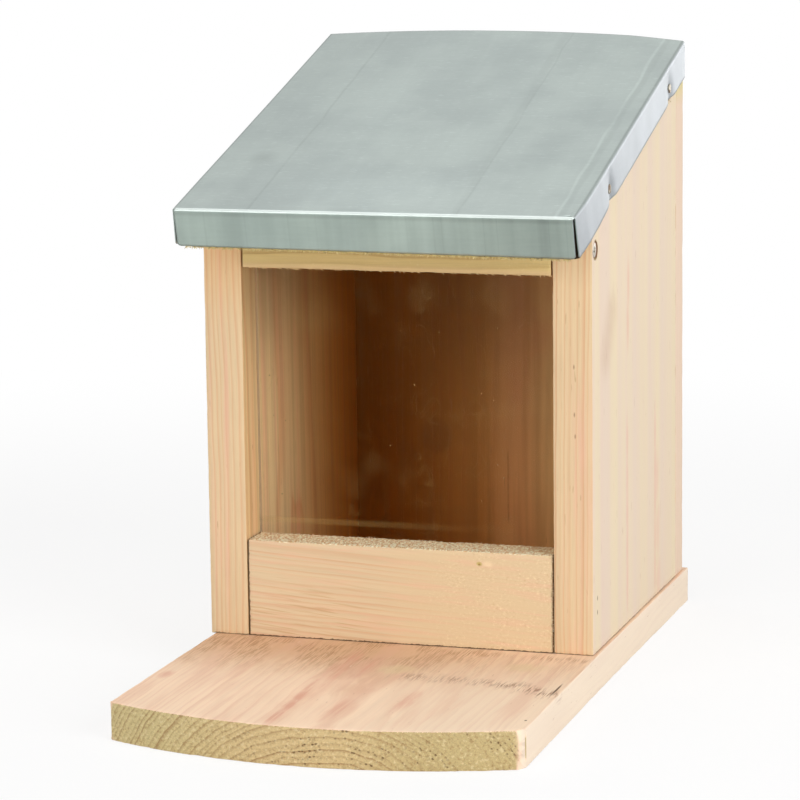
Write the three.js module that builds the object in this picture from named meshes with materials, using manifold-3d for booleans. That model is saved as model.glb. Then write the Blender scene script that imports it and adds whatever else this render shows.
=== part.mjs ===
// Squirrel feeder box in millimetres: a pine nut box on a long base board, with a clear pane behind
// its front opening and a hinged lid whose board is covered by a folded metal sheet.
// Modelling frame: X = 0 midway between the sides, Y = 0 at the front faces of the sides with Y
// running to the back, and Z = 0 under the base. The whole group is then moved so that its origin is
// the centre of the footprint.
import * as THREE from 'three';
import { mergeVertices } from 'three/addons/utils/BufferGeometryUtils.js';
import Module from 'manifold-3d';

const wasm = await Module();
wasm.setup();

// Base board, whose front edge bulges forward in one arc
const base_width = 150;
const base_length = 278;
const base_thickness = 14;
const base_arc_rise = 16;
const base_corner_reach = 3.5;
const base_side_shift = 1.3;
const base_rear_margin = 5;

// Box: two sides with slanted tops, and the back board that covers their rear edges
const box_width = 150;
const side_thickness = 15;
const side_depth = 138;
const side_front_height = 160;
const side_rise = 38.4;
const back_thickness = 13;

// Boards across the front, between the sides
const front_board_height = 37;
const front_board_thickness = 15;
const rail_height = 18.6;
const rail_thickness = 15;
const rail_top_gap = 0.4;
const board_end_gap = 0.4;

// Clear pane, and the saw grooves in the sides that it slides down in
const pane_thickness = 2;
const groove_depth = 4;
const groove_clearance = 0.35;
const pane_edge_clearance = 0.5;
const pane_top_clearance = 1.5;

// Lid board, which slopes down to the front and is sawn plumb at the back
const roof_width = 152.2;
const roof_board_thickness = 14;
const roof_overhang = 30.3;
const roof_side_shift = 1.4;
const lid_clearance = 0.3;

// Folded metal sheet over the lid board
const sheet_thickness = 0.4;
const sheet_clearance = 0.3;
const fold_radius = 1.6;
const flange_depth = 13.9;
const front_flange_inset = 0.7;
const corner_slit = 0.7;
const flange_corner_clip = 2.2;

// Places where a nail has pressed the sheet's side flange in
const dent_radius = 4.2;
const dent_floor_radius = 2.5;
const dent_depth = 1.3;
const dent_rim = 0.2;
const dent_clearance = 0.4;
const nail_height = 5.6;
const nail_front_setback = 51.6;
const nail_rear_setback = 30.4;

// Fasteners: each family's own sizes
const wood_screw = {
  head_radius: 3.2, rim: 0.35, head_height: 2.2, shank_radius: 1.45, length: 30, tip: 5, sides: 12,
  recess_width: 0.95, recess_span: 3.5, recess_depth: 1.2,
};
const hinge_screw = {
  head_radius: 2.1, rim: 0.2, head_height: 1.3, shank_radius: 0.95, length: 10, tip: 2.5, sides: 10,
  recess_width: 0.6, recess_span: 2.2, recess_depth: 0.7,
};
const roof_nail = {
  head_radius: 1.8, rim: 0.55, head_height: 0.55, shank_radius: 0.75, length: 18, tip: 2, sides: 10,
};
const hole_clearance = 0.3;
const screw_sink = 0.3;
const hinge_screw_sink = 0.05;

// Where the wood screws go
const rail_screw_setback = 4.5;
const base_screw_inset = 25;
const cross_screw_spacing = 70;
const back_screw_low = 34;
const back_screw_drop = 32;

// Two butt hinges behind the back board, with three knuckles each
const hinge_spacing = 84;
const hinge_width = 32;
const hinge_leaf_height = 12.5;
const hinge_leaf_thickness = 0.9;
const hinge_corner_radius = 1.5;
const knuckle_radius = 2.2;
const knuckle_gap = 0.35;
const hinge_pin_radius = 1;
const hinge_pin_head_radius = 1.5;
const hinge_pin_head_height = 0.6;
const hinge_seat_gap = 0.3;
const hinge_screw_spacing = 18;
const hinge_screw_edge = 4.2;

// Keyhole hanger plate on the back board, over a pocket that takes the wall screw's head
const hanger_width = 22;
const hanger_length = 46;
const hanger_thickness = 1.2;
const hanger_height = 118;
const hanger_screw_edge = 6;
const keyhole_radius = 4.8;
const keyhole_slot_width = 4.8;
const keyhole_slot_length = 10;
const pocket_depth = 5;
const pocket_margin = 1;

const round_steps = 16;
const corner_steps = 4;
const cut_overrun = 2;

// Places that follow from the sizes
const half_box = box_width / 2;
const inner_half = half_box - side_thickness;
const rear_y = side_depth + back_thickness;
const side_rear_height = side_front_height + side_rise;
const slope = Math.atan2(side_rise, side_depth);
const side_front_top = base_thickness + side_front_height;
const back_top = side_front_top + rear_y * Math.tan(slope);
const pane_front = Math.max(front_board_thickness, rail_thickness) + groove_clearance;
const half_roof = roof_width / 2;
const half_roof_board = half_roof - sheet_thickness - sheet_clearance;
const board_top = lid_clearance + roof_board_thickness;
const sheet_underside = board_top + sheet_clearance;
const sheet_top = sheet_underside + sheet_thickness;
const flange_bottom = sheet_top - flange_depth;
const board_front = -(roof_overhang - sheet_thickness - sheet_clearance);
const hinge_y = rear_y + hinge_seat_gap + knuckle_radius;
const hinge_z = back_top + lid_clearance / Math.cos(slope);
const rail_top = side_front_top - rail_top_gap;
const rail_middle = rail_top - rail_height / 2;
const hanger_z = base_thickness + hanger_height;

// Directions that fasteners are driven in
const left = new THREE.Vector3(-1, 0, 0);
const right = new THREE.Vector3(1, 0, 0);
const forward = new THREE.Vector3(0, -1, 0);
const up = new THREE.Vector3(0, 0, 1);
const down_shank = new THREE.Vector3(0, -1, 0);

// Turns an outline drawn in (Y, Z) and extruded into one that runs along X
const along_x = new THREE.Matrix4().makeBasis(
  new THREE.Vector3(0, 1, 0), new THREE.Vector3(0, 0, 1), new THREE.Vector3(1, 0, 0));
// Turns an outline drawn in (X, Z) and extruded into one that runs forward, along -Y
const along_forward = new THREE.Matrix4().makeBasis(
  new THREE.Vector3(1, 0, 0), new THREE.Vector3(0, 0, 1), new THREE.Vector3(0, -1, 0));

// A solid that can be joined and cut, from a closed geometry
function solid(geometry) {
  const bare = geometry.index ? geometry.clone() : geometry;
  bare.deleteAttribute('normal');
  bare.deleteAttribute('uv');
  const merged = mergeVertices(bare);
  return new wasm.Manifold(new wasm.Mesh({
    numProp: 3,
    vertProperties: new Float32Array(merged.attributes.position.array),
    triVerts: new Uint32Array(merged.index.array),
  }));
}

// A geometry for a mesh, from a solid
function geometry_of(body) {
  const { vertProperties, triVerts } = body.getMesh();
  const geometry = new THREE.BufferGeometry();
  geometry.setAttribute('position', new THREE.BufferAttribute(vertProperties, 3));
  geometry.setIndex(new THREE.BufferAttribute(triVerts, 1));
  geometry.computeVertexNormals();
  return geometry;
}

// A block between two opposite corners
function block(low, high) {
  const size = high.map((value, axis) => value - low[axis]);
  const geometry = new THREE.BoxGeometry(...size);
  geometry.translate(...low.map((value, axis) => value + size[axis] / 2));
  return solid(geometry);
}

function outline(points) {
  return new THREE.Shape(points.map(([across, upward]) => new THREE.Vector2(across, upward)));
}

function extruded(shape, depth, steps = corner_steps) {
  return new THREE.ExtrudeGeometry(shape, { depth, bevelEnabled: false, curveSegments: steps });
}

// An outline in (Y, Z), extruded along X from one place to another
function across(shape, from_x, to_x, steps = corner_steps) {
  return solid(extruded(shape, to_x - from_x, steps).applyMatrix4(along_x).translate(from_x, 0, 0));
}

// An outline in (X, Z), extruded along Y from one place to another
function plate(shape, front_y, back_y, steps = corner_steps) {
  const geometry = extruded(shape, back_y - front_y, steps).applyMatrix4(along_forward);
  return solid(geometry.translate(0, back_y, 0));
}

// Turned about its own axis from (radius, height) points, with the heights falling into the wood
function turned(points, sides) {
  const profile = points.map(([radius, height]) => new THREE.Vector2(radius, height)).reverse();
  return new THREE.LatheGeometry(profile, sides);
}

function placed(geometry, at, into) {
  const turn = new THREE.Quaternion().setFromUnitVectors(down_shank, into);
  return geometry.applyQuaternion(turn).translate(at.x, at.y, at.z);
}

// A place on or above the slanted tops of the sides: distance back along the slope, and height off it
function on_slope(along, off) {
  return [
    along * Math.cos(slope) - off * Math.sin(slope),
    side_front_top + along * Math.sin(slope) + off * Math.cos(slope),
  ];
}

// How far along the slope the lid ends where it is sawn plumb, at a height off the slope
function plumb_end(off) {
  return (rear_y + off * Math.sin(slope)) / Math.cos(slope);
}

function finish(color, roughness, metalness, opacity = 1) {
  return new THREE.MeshStandardMaterial({
    color, roughness, metalness, opacity, transparent: opacity < 1,
  });
}

const pale_pine = () => finish(0xe8c9a0, 0.8, 0);
const zinc_sheet = () => finish(0xb4bfbb, 0.45, 0.9);
const plated_steel = () => finish(0xb9b6ac, 0.35, 0.95);
const clear_plastic = () => finish(0xf2f6f4, 0.08, 0, 0.25);

function piece(name, body, material) {
  const mesh = new THREE.Mesh(body.isBufferGeometry ? body : geometry_of(body), material);
  mesh.name = name;
  return mesh;
}

// The outline of a screw or nail, grown by a clearance where it is used to cut its hole
function fastener_profile(kind, grow, above) {
  return [
    [0, above],
    [kind.head_radius + grow, above],
    [kind.head_radius + grow, -kind.rim],
    [kind.shank_radius + grow, -kind.head_height - grow],
    [kind.shank_radius + grow, kind.tip - kind.length],
    [0, -kind.length - grow],
  ];
}

// A screw or nail, with a crossed recess in its head where its family has one
function fastener_solid(kind) {
  const body = solid(turned(fastener_profile(kind, 0, 0), kind.sides));
  if (!kind.recess_depth) return body;
  const reach = kind.recess_span / 2;
  const half_slot = kind.recess_width / 2;
  const one = block([-reach, -kind.recess_depth, -half_slot], [reach, cut_overrun, half_slot]);
  const other = block([-half_slot, -kind.recess_depth, -reach], [half_slot, cut_overrun, reach]);
  return body.subtract(one.add(other));
}

// Every screw and nail: its name, family, the place of its head's centre and the way it is driven
function fastener(name, kind, x, y, z, into) {
  return { name, kind, at: new THREE.Vector3(x, y, z), into };
}

function fastener_mesh({ name, kind, at, into }) {
  const mesh = piece(name, fastener_solid(kind), plated_steel());
  mesh.position.copy(at);
  mesh.quaternion.setFromUnitVectors(down_shank, into);
  return mesh;
}

// A body with the holes for a list of fasteners cut out of it
function drilled(body, fasteners) {
  return fasteners.reduce((rest, { kind, at, into }) => {
    const profile = fastener_profile(kind, hole_clearance, cut_overrun);
    return rest.subtract(solid(placed(turned(profile, kind.sides), at, into)));
  }, body);
}

function rail_screws() {
  const place = half_box - screw_sink;
  return [
    fastener('rail_screw_left', wood_screw, -place, rail_screw_setback, rail_middle, right),
    fastener('rail_screw_right', wood_screw, place, rail_screw_setback, rail_middle, left),
  ];
}

// Screws that come up through the base into the boards that stand on it
function base_screws(side_name, side) {
  const x = side * (half_box - side_thickness / 2);
  const cross_x = side * cross_screw_spacing / 2;
  const front_y = front_board_thickness / 2;
  const back_y = side_depth + back_thickness / 2;
  const rear_inset = side_depth - base_screw_inset;
  return {
    side: [
      fastener(`base_screw_${side_name}_front`, wood_screw, x, base_screw_inset, screw_sink, up),
      fastener(`base_screw_${side_name}_rear`, wood_screw, x, rear_inset, screw_sink, up),
    ],
    front: fastener(`front_board_screw_${side_name}`, wood_screw, cross_x, front_y, screw_sink, up),
    back: fastener(`back_board_screw_${side_name}`, wood_screw, cross_x, back_y, screw_sink, up),
  };
}

// Screws through the back board into the rear edge of one side
function back_screws(side_name, side) {
  const x = side * (half_box - side_thickness / 2);
  const y = rear_y - screw_sink;
  const low_z = base_thickness + back_screw_low;
  const high_z = base_thickness + side_rear_height - back_screw_drop;
  return [
    fastener(`side_screw_${side_name}_low`, wood_screw, x, y, low_z, forward),
    fastener(`side_screw_${side_name}_high`, wood_screw, x, y, high_z, forward),
  ];
}

// The nails that hold the sheet, driven through its side flange into the edge of the lid board
function roof_nails(side_name, side) {
  const x = roof_side_shift + side * (half_roof - dent_depth + roof_nail.head_height + hole_clearance);
  const into = side > 0 ? left : right;
  const front_along = -roof_overhang + nail_front_setback;
  const rear_along = plumb_end(nail_height) - nail_rear_setback;
  return [
    fastener(`roof_nail_${side_name}_front`, roof_nail, x, ...on_slope(front_along, nail_height), into),
    fastener(`roof_nail_${side_name}_rear`, roof_nail, x, ...on_slope(rear_along, nail_height), into),
  ];
}

// The small screws of one hinge, two in each leaf
function hinge_screws(side_name, side) {
  const x = side * hinge_spacing / 2;
  const y = hinge_y - knuckle_radius + hinge_leaf_thickness - hinge_screw_sink;
  const reach = hinge_leaf_height - hinge_screw_edge;
  const row = (leaf, z) => [-1, 1].map((end) => fastener(
    `hinge_screw_${side_name}_${leaf}_${end < 0 ? 'left' : 'right'}`,
    hinge_screw, x + end * hinge_screw_spacing / 2, y, z, forward));
  return { box: row('box', hinge_z - reach), lid: row('lid', hinge_z + reach) };
}

function hanger_screws() {
  const y = rear_y + hanger_thickness - hinge_screw_sink;
  const reach = hanger_length / 2 - hanger_screw_edge;
  return [
    fastener('hanger_screw_top', hinge_screw, 0, y, hanger_z + reach, forward),
    fastener('hanger_screw_bottom', hinge_screw, 0, y, hanger_z - reach, forward),
  ];
}

// The plan of the base: straight sides and rear, an arc in front, and eased front corners
function base_outline() {
  const half = base_width / 2;
  const rear = rear_y + base_rear_margin;
  const chord = rear - base_length + base_arc_rise;
  const radius = (half * half + base_arc_rise * base_arc_rise) / (2 * base_arc_rise);
  const centre_y = chord - base_arc_rise + radius;
  const swing = Math.asin((half - base_corner_reach) / radius);
  const middle = base_side_shift;
  const arc_end_x = radius * Math.sin(swing);
  const arc_end_y = centre_y - radius * Math.cos(swing);
  const shape = new THREE.Shape();
  shape.moveTo(middle - half, rear);
  shape.lineTo(middle - half, chord + base_corner_reach);
  shape.quadraticCurveTo(middle - half, chord, middle - arc_end_x, arc_end_y);
  shape.absarc(middle, centre_y, radius, -Math.PI / 2 - swing, -Math.PI / 2 + swing, false);
  shape.quadraticCurveTo(middle + half, chord, middle + half, chord + base_corner_reach);
  shape.lineTo(middle + half, rear);
  return shape;
}

function base_board(screws) {
  const body = solid(extruded(base_outline(), base_thickness, round_steps / 2));
  return piece('base_board', drilled(body, screws), pale_pine());
}

// One side with its slanted top, and the groove for the pane in its inner face
function side_board(name, side, screws) {
  const shape = outline([
    [0, base_thickness],
    [side_depth, base_thickness],
    [side_depth, base_thickness + side_rear_height],
    [0, side_front_top],
  ]);
  const outer = side * half_box;
  const inner = side * inner_half;
  const body = across(shape, Math.min(outer, inner), Math.max(outer, inner));
  const groove_floor = inner + side * groove_depth;
  const groove_mouth = inner - side * cut_overrun;
  const groove_front = pane_front - groove_clearance;
  const groove_back = pane_front + pane_thickness + groove_clearance;
  const groove = block(
    [Math.min(groove_floor, groove_mouth), groove_front, base_thickness - cut_overrun],
    [Math.max(groove_floor, groove_mouth), groove_back, back_top + cut_overrun]);
  return piece(name, drilled(body.subtract(groove), screws), pale_pine());
}

// The keyhole: a round hole that a screw head passes, and a slot above it for the screw's shank
function keyhole(grow) {
  const half_slot = keyhole_slot_width / 2 + grow;
  const radius = keyhole_radius + grow;
  const join = Math.asin(half_slot / radius);
  const slot_top = hanger_z + keyhole_slot_length / 2;
  const round_z = hanger_z - keyhole_slot_length / 2;
  const shape = new THREE.Shape();
  shape.absarc(0, round_z, radius, Math.PI / 2 + join, Math.PI / 2 - join + 2 * Math.PI, false);
  shape.absarc(0, slot_top, half_slot, 0, Math.PI, false);
  return shape;
}

// A slot with round ends, as wide as the keyhole's round hole, behind the whole keyhole
function pocket_outline() {
  const radius = keyhole_radius + pocket_margin;
  const shape = new THREE.Shape();
  shape.absarc(0, hanger_z - keyhole_slot_length / 2, radius, Math.PI, 2 * Math.PI, false);
  shape.absarc(0, hanger_z + keyhole_slot_length / 2, radius, 0, Math.PI, false);
  return shape;
}

function back_board(screws) {
  const shape = outline([
    [side_depth, base_thickness],
    [rear_y, base_thickness],
    [rear_y, back_top],
    [side_depth, base_thickness + side_rear_height],
  ]);
  const body = across(shape, -half_box, half_box);
  const pocket = plate(pocket_outline(), rear_y - pocket_depth, rear_y + cut_overrun, corner_steps);
  return piece('back_board', drilled(body.subtract(pocket), screws), pale_pine());
}

function front_board(screws) {
  const reach = inner_half - board_end_gap;
  const body = block(
    [-reach, 0, base_thickness],
    [reach, front_board_thickness, base_thickness + front_board_height]);
  return piece('front_board', drilled(body, screws), pale_pine());
}

function top_rail(screws) {
  const reach = inner_half - board_end_gap;
  const body = block([-reach, 0, rail_top - rail_height], [reach, rail_thickness, rail_top]);
  return piece('top_rail', drilled(body, screws), pale_pine());
}

function window_pane() {
  const reach = inner_half + groove_depth - pane_edge_clearance;
  const top = side_front_top + pane_front * Math.tan(slope) - pane_top_clearance;
  const body = block(
    [-reach, pane_front, base_thickness],
    [reach, pane_front + pane_thickness, top]);
  return piece('window_pane', body, clear_plastic());
}

// The cone that a pressed dent needs in the edge of the lid board
function dent_room({ at, into }) {
  const face = half_roof - Math.abs(at.x - roof_side_shift);
  const radius = dent_radius + dent_clearance;
  const floor = dent_depth + sheet_thickness + dent_clearance;
  const profile = [
    [0, cut_overrun],
    [radius, cut_overrun],
    [radius, face - sheet_thickness],
    [dent_floor_radius + dent_clearance, face - floor],
    [0, face - floor],
  ];
  return solid(placed(turned(profile, roof_nail.sides), at, into));
}

// The lid board: its long edges and top front edge are eased, so that the sheet's folds fit round them
function roof_board(nails, screws) {
  const low = lid_clearance - cut_overrun;
  const high = board_top + cut_overrun;
  const ease = fold_radius;
  const side_view = outline([
    on_slope(board_front, low),
    on_slope(plumb_end(low), low),
    on_slope(plumb_end(high), high),
    on_slope(board_front + ease + cut_overrun, high),
    on_slope(board_front, board_top - ease),
  ]);
  const section = outline([
    [-half_roof_board, lid_clearance],
    [half_roof_board, lid_clearance],
    [half_roof_board, board_top - ease],
    [half_roof_board - ease, board_top],
    [ease - half_roof_board, board_top],
    [-half_roof_board, board_top - ease],
  ]);
  const stock = extruded(section, plumb_end(high) + roof_overhang).applyMatrix4(along_forward);
  stock.translate(0, plumb_end(high), 0).rotateX(slope).translate(roof_side_shift, 0, side_front_top);
  const reach = half_roof + cut_overrun;
  const body = solid(stock).intersect(across(side_view, roof_side_shift - reach, roof_side_shift + reach));
  const recessed = nails.reduce((rest, nail) => rest.subtract(dent_room(nail)), body);
  return piece('roof_board', drilled(recessed, [...nails, ...screws]), pale_pine());
}

// Cross-section of the sheet's top and side flanges, with rounded folds
function sheet_section() {
  const inner = half_roof - sheet_thickness;
  const fold = half_roof - fold_radius;
  const low_fold = sheet_top - fold_radius;
  const inner_fold = fold_radius - sheet_thickness;
  const shape = new THREE.Shape();
  shape.moveTo(half_roof, flange_bottom);
  shape.absarc(fold, low_fold, fold_radius, 0, Math.PI / 2, false);
  shape.absarc(-fold, low_fold, fold_radius, Math.PI / 2, Math.PI, false);
  shape.lineTo(-half_roof, flange_bottom);
  shape.lineTo(-inner, flange_bottom);
  shape.absarc(-fold, low_fold, inner_fold, Math.PI, Math.PI / 2, true);
  shape.absarc(fold, low_fold, inner_fold, Math.PI / 2, 0, true);
  shape.lineTo(inner, flange_bottom);
  return shape;
}

// Side view of the sheet's front fold, from the front flange back to where the top takes over
function front_section() {
  const front = -roof_overhang;
  const fold = front + fold_radius;
  const low_fold = sheet_top - fold_radius;
  const join = fold + 2 * fold_radius;
  const shape = new THREE.Shape();
  shape.moveTo(join, sheet_top);
  shape.absarc(fold, low_fold, fold_radius, Math.PI / 2, Math.PI, false);
  shape.lineTo(front, flange_bottom);
  shape.lineTo(front + sheet_thickness, flange_bottom);
  shape.absarc(fold, low_fold, fold_radius - sheet_thickness, Math.PI, Math.PI / 2, true);
  shape.lineTo(join, sheet_underside);
  return shape;
}

// The ring of sheet round one nail, pressed inwards
function dent_ring() {
  const hole = roof_nail.shank_radius + hole_clearance;
  const rim = dent_radius + dent_rim;
  const profile = [
    [rim, 0],
    [rim, -sheet_thickness],
    [dent_radius, -sheet_thickness],
    [dent_floor_radius, -dent_depth - sheet_thickness],
    [hole, -dent_depth - sheet_thickness],
    [hole, -dent_depth],
    [dent_floor_radius, -dent_depth],
    [dent_radius, 0],
    [rim, 0],
  ];
  return turned(profile, round_steps);
}

// Both flanges with one dent for each nail, in the sheet's own frame
function dented(sheet, side) {
  const into = side > 0 ? left : right;
  const along_places = [
    -roof_overhang + nail_front_setback,
    plumb_end(nail_height) - nail_rear_setback,
  ];
  return along_places.reduce((rest, along) => {
    const face = new THREE.Vector3(side * half_roof, along, nail_height);
    const opening = [
      [0, cut_overrun], [dent_radius, cut_overrun],
      [dent_radius, -cut_overrun], [0, -cut_overrun],
    ];
    const hole = solid(placed(turned(opening, round_steps), face, into));
    return rest.subtract(hole).add(solid(placed(dent_ring(), face, into)));
  }, sheet);
}

// The folded sheet, modelled with Y along the slope and Z off it
function roof_sheet() {
  const flange_front = -roof_overhang + sheet_thickness + corner_slit;
  const top_front = -roof_overhang + fold_radius;
  const low = flange_bottom - cut_overrun;
  const high = sheet_top + cut_overrun;
  const side_view = outline([
    [flange_front + flange_corner_clip, low],
    [plumb_end(low), low],
    [plumb_end(high), high],
    [top_front, high],
    [top_front, sheet_top - fold_radius],
    [flange_front, sheet_top - fold_radius - corner_slit],
    [flange_front, flange_bottom + flange_corner_clip],
    [flange_front + flange_corner_clip, flange_bottom],
  ]);
  const long_enough = plumb_end(high) + roof_overhang;
  const profile = extruded(sheet_section(), long_enough, corner_steps).applyMatrix4(along_forward);
  const trough = solid(profile.translate(0, plumb_end(high), 0));
  const kept = across(side_view, -half_roof - cut_overrun, half_roof + cut_overrun);
  const reach = half_roof - front_flange_inset;
  const front = across(front_section(), -reach, reach);
  const clip = flange_corner_clip;
  const corners = [-1, 1].map((side) => plate(outline(side > 0
    ? [[reach, flange_bottom + clip], [reach - clip, flange_bottom], [reach, flange_bottom - clip],
      [reach + clip, flange_bottom]]
    : [[-reach, flange_bottom + clip], [-reach - clip, flange_bottom], [-reach, flange_bottom - clip],
      [clip - reach, flange_bottom]]),
  -roof_overhang - cut_overrun, -roof_overhang + sheet_thickness + corner_slit / 2));
  const clipped = corners.reduce((rest, corner) => rest.subtract(corner), front);
  const sheet = dented(dented(trough.intersect(kept).add(clipped), 1), -1);
  const mesh = piece('roof_sheet', sheet, zinc_sheet());
  mesh.position.set(roof_side_shift, 0, side_front_top);
  mesh.rotation.x = slope;
  return mesh;
}

// One hinge leaf: a plate with rounded free corners, and the knuckles that are wrapped round the pin.
// way is 1 for the lid's leaf, which stands up from the pin, and -1 for the box's leaf
function hinge_leaf(x, way, knuckles) {
  const half = hinge_width / 2;
  const radius = hinge_corner_radius;
  const tip = hinge_z + way * hinge_leaf_height;
  const root = hinge_z + way * (knuckle_radius + knuckle_gap);
  const shape = new THREE.Shape();
  shape.moveTo(x - half, root);
  shape.lineTo(x + half, root);
  shape.lineTo(x + half, tip - way * radius);
  shape.quadraticCurveTo(x + half, tip, x + half - radius, tip);
  shape.lineTo(x - half + radius, tip);
  shape.quadraticCurveTo(x - half, tip, x - half, tip - way * radius);
  const face = hinge_y - knuckle_radius;
  const body = plate(shape, face, face + hinge_leaf_thickness);
  return knuckles.reduce((rest, [from_x, to_x]) => {
    const ring = new THREE.Shape().absarc(hinge_y, hinge_z, knuckle_radius, 0, 2 * Math.PI, false);
    const bore = new THREE.Path();
    bore.absarc(hinge_y, hinge_z, knuckle_radius - hinge_leaf_thickness, 0, 2 * Math.PI, true);
    ring.holes.push(bore);
    const tab = block(
      [from_x, face, Math.min(hinge_z, root + way * radius)],
      [to_x, face + hinge_leaf_thickness, Math.max(hinge_z, root + way * radius)]);
    return rest.add(across(ring, from_x, to_x, round_steps / 2)).add(tab);
  }, body);
}

// Where the three knuckles of a hinge lie along X
function knuckle_spans(x) {
  const third = hinge_width / 3;
  const half_gap = knuckle_gap / 2;
  const start = x - hinge_width / 2;
  return {
    box: [[start, start + third - half_gap], [start + 2 * third + half_gap, start + hinge_width]],
    lid: [[start + third + half_gap, start + 2 * third - half_gap]],
  };
}

function hinge_pin(name, x) {
  const half = hinge_width / 2 + knuckle_gap;
  const profile = [
    [0, half + hinge_pin_head_height],
    [hinge_pin_head_radius, half + hinge_pin_head_height / 2],
    [hinge_pin_head_radius, half],
    [hinge_pin_radius, half],
    [hinge_pin_radius, -half],
    [hinge_pin_head_radius, -half],
    [hinge_pin_head_radius, -half - hinge_pin_head_height / 2],
    [0, -half - hinge_pin_head_height],
  ];
  const mesh = piece(name, turned(profile, round_steps), plated_steel());
  mesh.position.set(x, hinge_y, hinge_z);
  mesh.quaternion.setFromUnitVectors(down_shank, left);
  return mesh;
}

function hanger_plate(screws) {
  const half = hanger_width / 2;
  const centre = hanger_length / 2 - half;
  const shape = new THREE.Shape();
  shape.absarc(0, hanger_z - centre, half, Math.PI, 2 * Math.PI, false);
  shape.absarc(0, hanger_z + centre, half, 0, Math.PI, false);
  const body = plate(shape, rear_y, rear_y + hanger_thickness, round_steps / 2);
  const hole = plate(
    keyhole(0), rear_y - cut_overrun, rear_y + hanger_thickness + cut_overrun, round_steps / 4);
  return piece('hanger_plate', drilled(body.subtract(hole), screws), plated_steel());
}

const ends = [['left', -1], ['right', 1]];
const box = new THREE.Group();
const lid = new THREE.Group();

const rail = rail_screws();
const from_below = ends.map(([name, side]) => base_screws(name, side));
const from_behind = ends.map(([name, side]) => back_screws(name, side));
const hanger = hanger_screws();
const leaf_screws = ends.map(([name, side]) => hinge_screws(name, side));
const nails = ends.flatMap(([name, side]) => roof_nails(name, side));
const below_sides = from_below.flatMap((row) => row.side);
const below_front = from_below.map((row) => row.front);
const below_back = from_below.map((row) => row.back);
const box_leaf_screws = leaf_screws.flatMap((row) => row.box);
const lid_leaf_screws = leaf_screws.flatMap((row) => row.lid);

box.add(base_board([...below_sides, ...below_front, ...below_back]));
ends.forEach(([name, side], index) => {
  const screws = [rail[index], ...from_below[index].side, ...from_behind[index]];
  box.add(side_board(`${name}_side`, side, screws));
});
box.add(back_board([...from_behind.flat(), ...below_back, ...box_leaf_screws, ...hanger]));
box.add(front_board(below_front));
box.add(top_rail(rail));
box.add(window_pane());
box.add(hanger_plate(hanger));
lid.add(roof_board(nails, lid_leaf_screws));
lid.add(roof_sheet());

ends.forEach(([name, side], index) => {
  const x = side * hinge_spacing / 2;
  const spans = knuckle_spans(x);
  const box_leaf = drilled(hinge_leaf(x, -1, spans.box), leaf_screws[index].box);
  const lid_leaf = drilled(hinge_leaf(x, 1, spans.lid), leaf_screws[index].lid);
  box.add(piece(`hinge_${name}_box_leaf`, box_leaf, plated_steel()));
  box.add(hinge_pin(`hinge_${name}_pin`, x));
  lid.add(piece(`hinge_${name}_lid_leaf`, lid_leaf, plated_steel()));
});

const box_fasteners = [
  ...rail, ...below_sides, ...below_front, ...below_back, ...from_behind.flat(),
  ...box_leaf_screws, ...hanger,
];
box_fasteners.forEach((item) => box.add(fastener_mesh(item)));
[...nails, ...lid_leaf_screws].forEach((item) => lid.add(fastener_mesh(item)));

// The origin of the finished part is the centre of its footprint, on the ground
const feeder = new THREE.Group();
const reach_left = Math.max(half_box, base_width / 2 - base_side_shift, half_roof - roof_side_shift);
const reach_right = Math.max(half_box, base_width / 2 + base_side_shift, half_roof + roof_side_shift);
const rear_reach = rear_y + base_rear_margin;
feeder.position.set((reach_left - reach_right) / 2, base_length / 2 - rear_reach, 0);
feeder.add(box, lid);

export default feeder;
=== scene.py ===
import math
import random

import bmesh
import bpy
from mathutils import Matrix, Vector, noise


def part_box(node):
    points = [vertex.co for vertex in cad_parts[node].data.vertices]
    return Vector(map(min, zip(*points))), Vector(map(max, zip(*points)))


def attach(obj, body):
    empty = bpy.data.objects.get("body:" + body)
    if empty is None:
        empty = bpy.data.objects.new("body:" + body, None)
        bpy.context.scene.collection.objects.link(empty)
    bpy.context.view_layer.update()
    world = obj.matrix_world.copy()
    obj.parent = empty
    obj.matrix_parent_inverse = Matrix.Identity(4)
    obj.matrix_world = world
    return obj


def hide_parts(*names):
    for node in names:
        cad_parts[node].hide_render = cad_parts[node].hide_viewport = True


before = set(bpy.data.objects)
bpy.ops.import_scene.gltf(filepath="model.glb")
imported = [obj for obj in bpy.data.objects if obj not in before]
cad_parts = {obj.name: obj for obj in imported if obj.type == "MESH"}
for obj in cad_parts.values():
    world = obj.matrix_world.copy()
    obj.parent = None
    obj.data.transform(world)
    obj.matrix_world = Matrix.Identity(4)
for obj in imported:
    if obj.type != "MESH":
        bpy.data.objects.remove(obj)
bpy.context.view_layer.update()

mm = 0.001

# The photograph's view
camera_place = Vector((370.75, -1209.0, 320.6)) * mm
camera_azimuth = math.radians(17.24)
camera_elevation = math.radians(9.69)
camera_roll = math.radians(-0.72)
focal_pixels = 3416.5
image_pixels = 800
principal_pixel = (401.6, 399.0)
sensor_width = 36

# Sizes of the wood. A pair holds the left one and the right one.
arris_width = 0.45 * mm
side_rise = 38.4 * mm
base_arc_rise = 16 * mm
base_arc_reach = 60 * mm
base_corners = (0.4 * mm, 2.6 * mm)
base_flare = (0.5 * mm, 1.0 * mm)
base_even_share = 0.35
frayed_reach = 20 * mm
frayed_height = 0.2 * mm
groove_depth = 4 * mm
groove_clearance = 0.35 * mm
pocket_radius = 5.8 * mm
pocket_length = 10 * mm
pocket_depth = 5 * mm
torn_from_left = 21.55 * mm
tuft_width = 3 * mm

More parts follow.
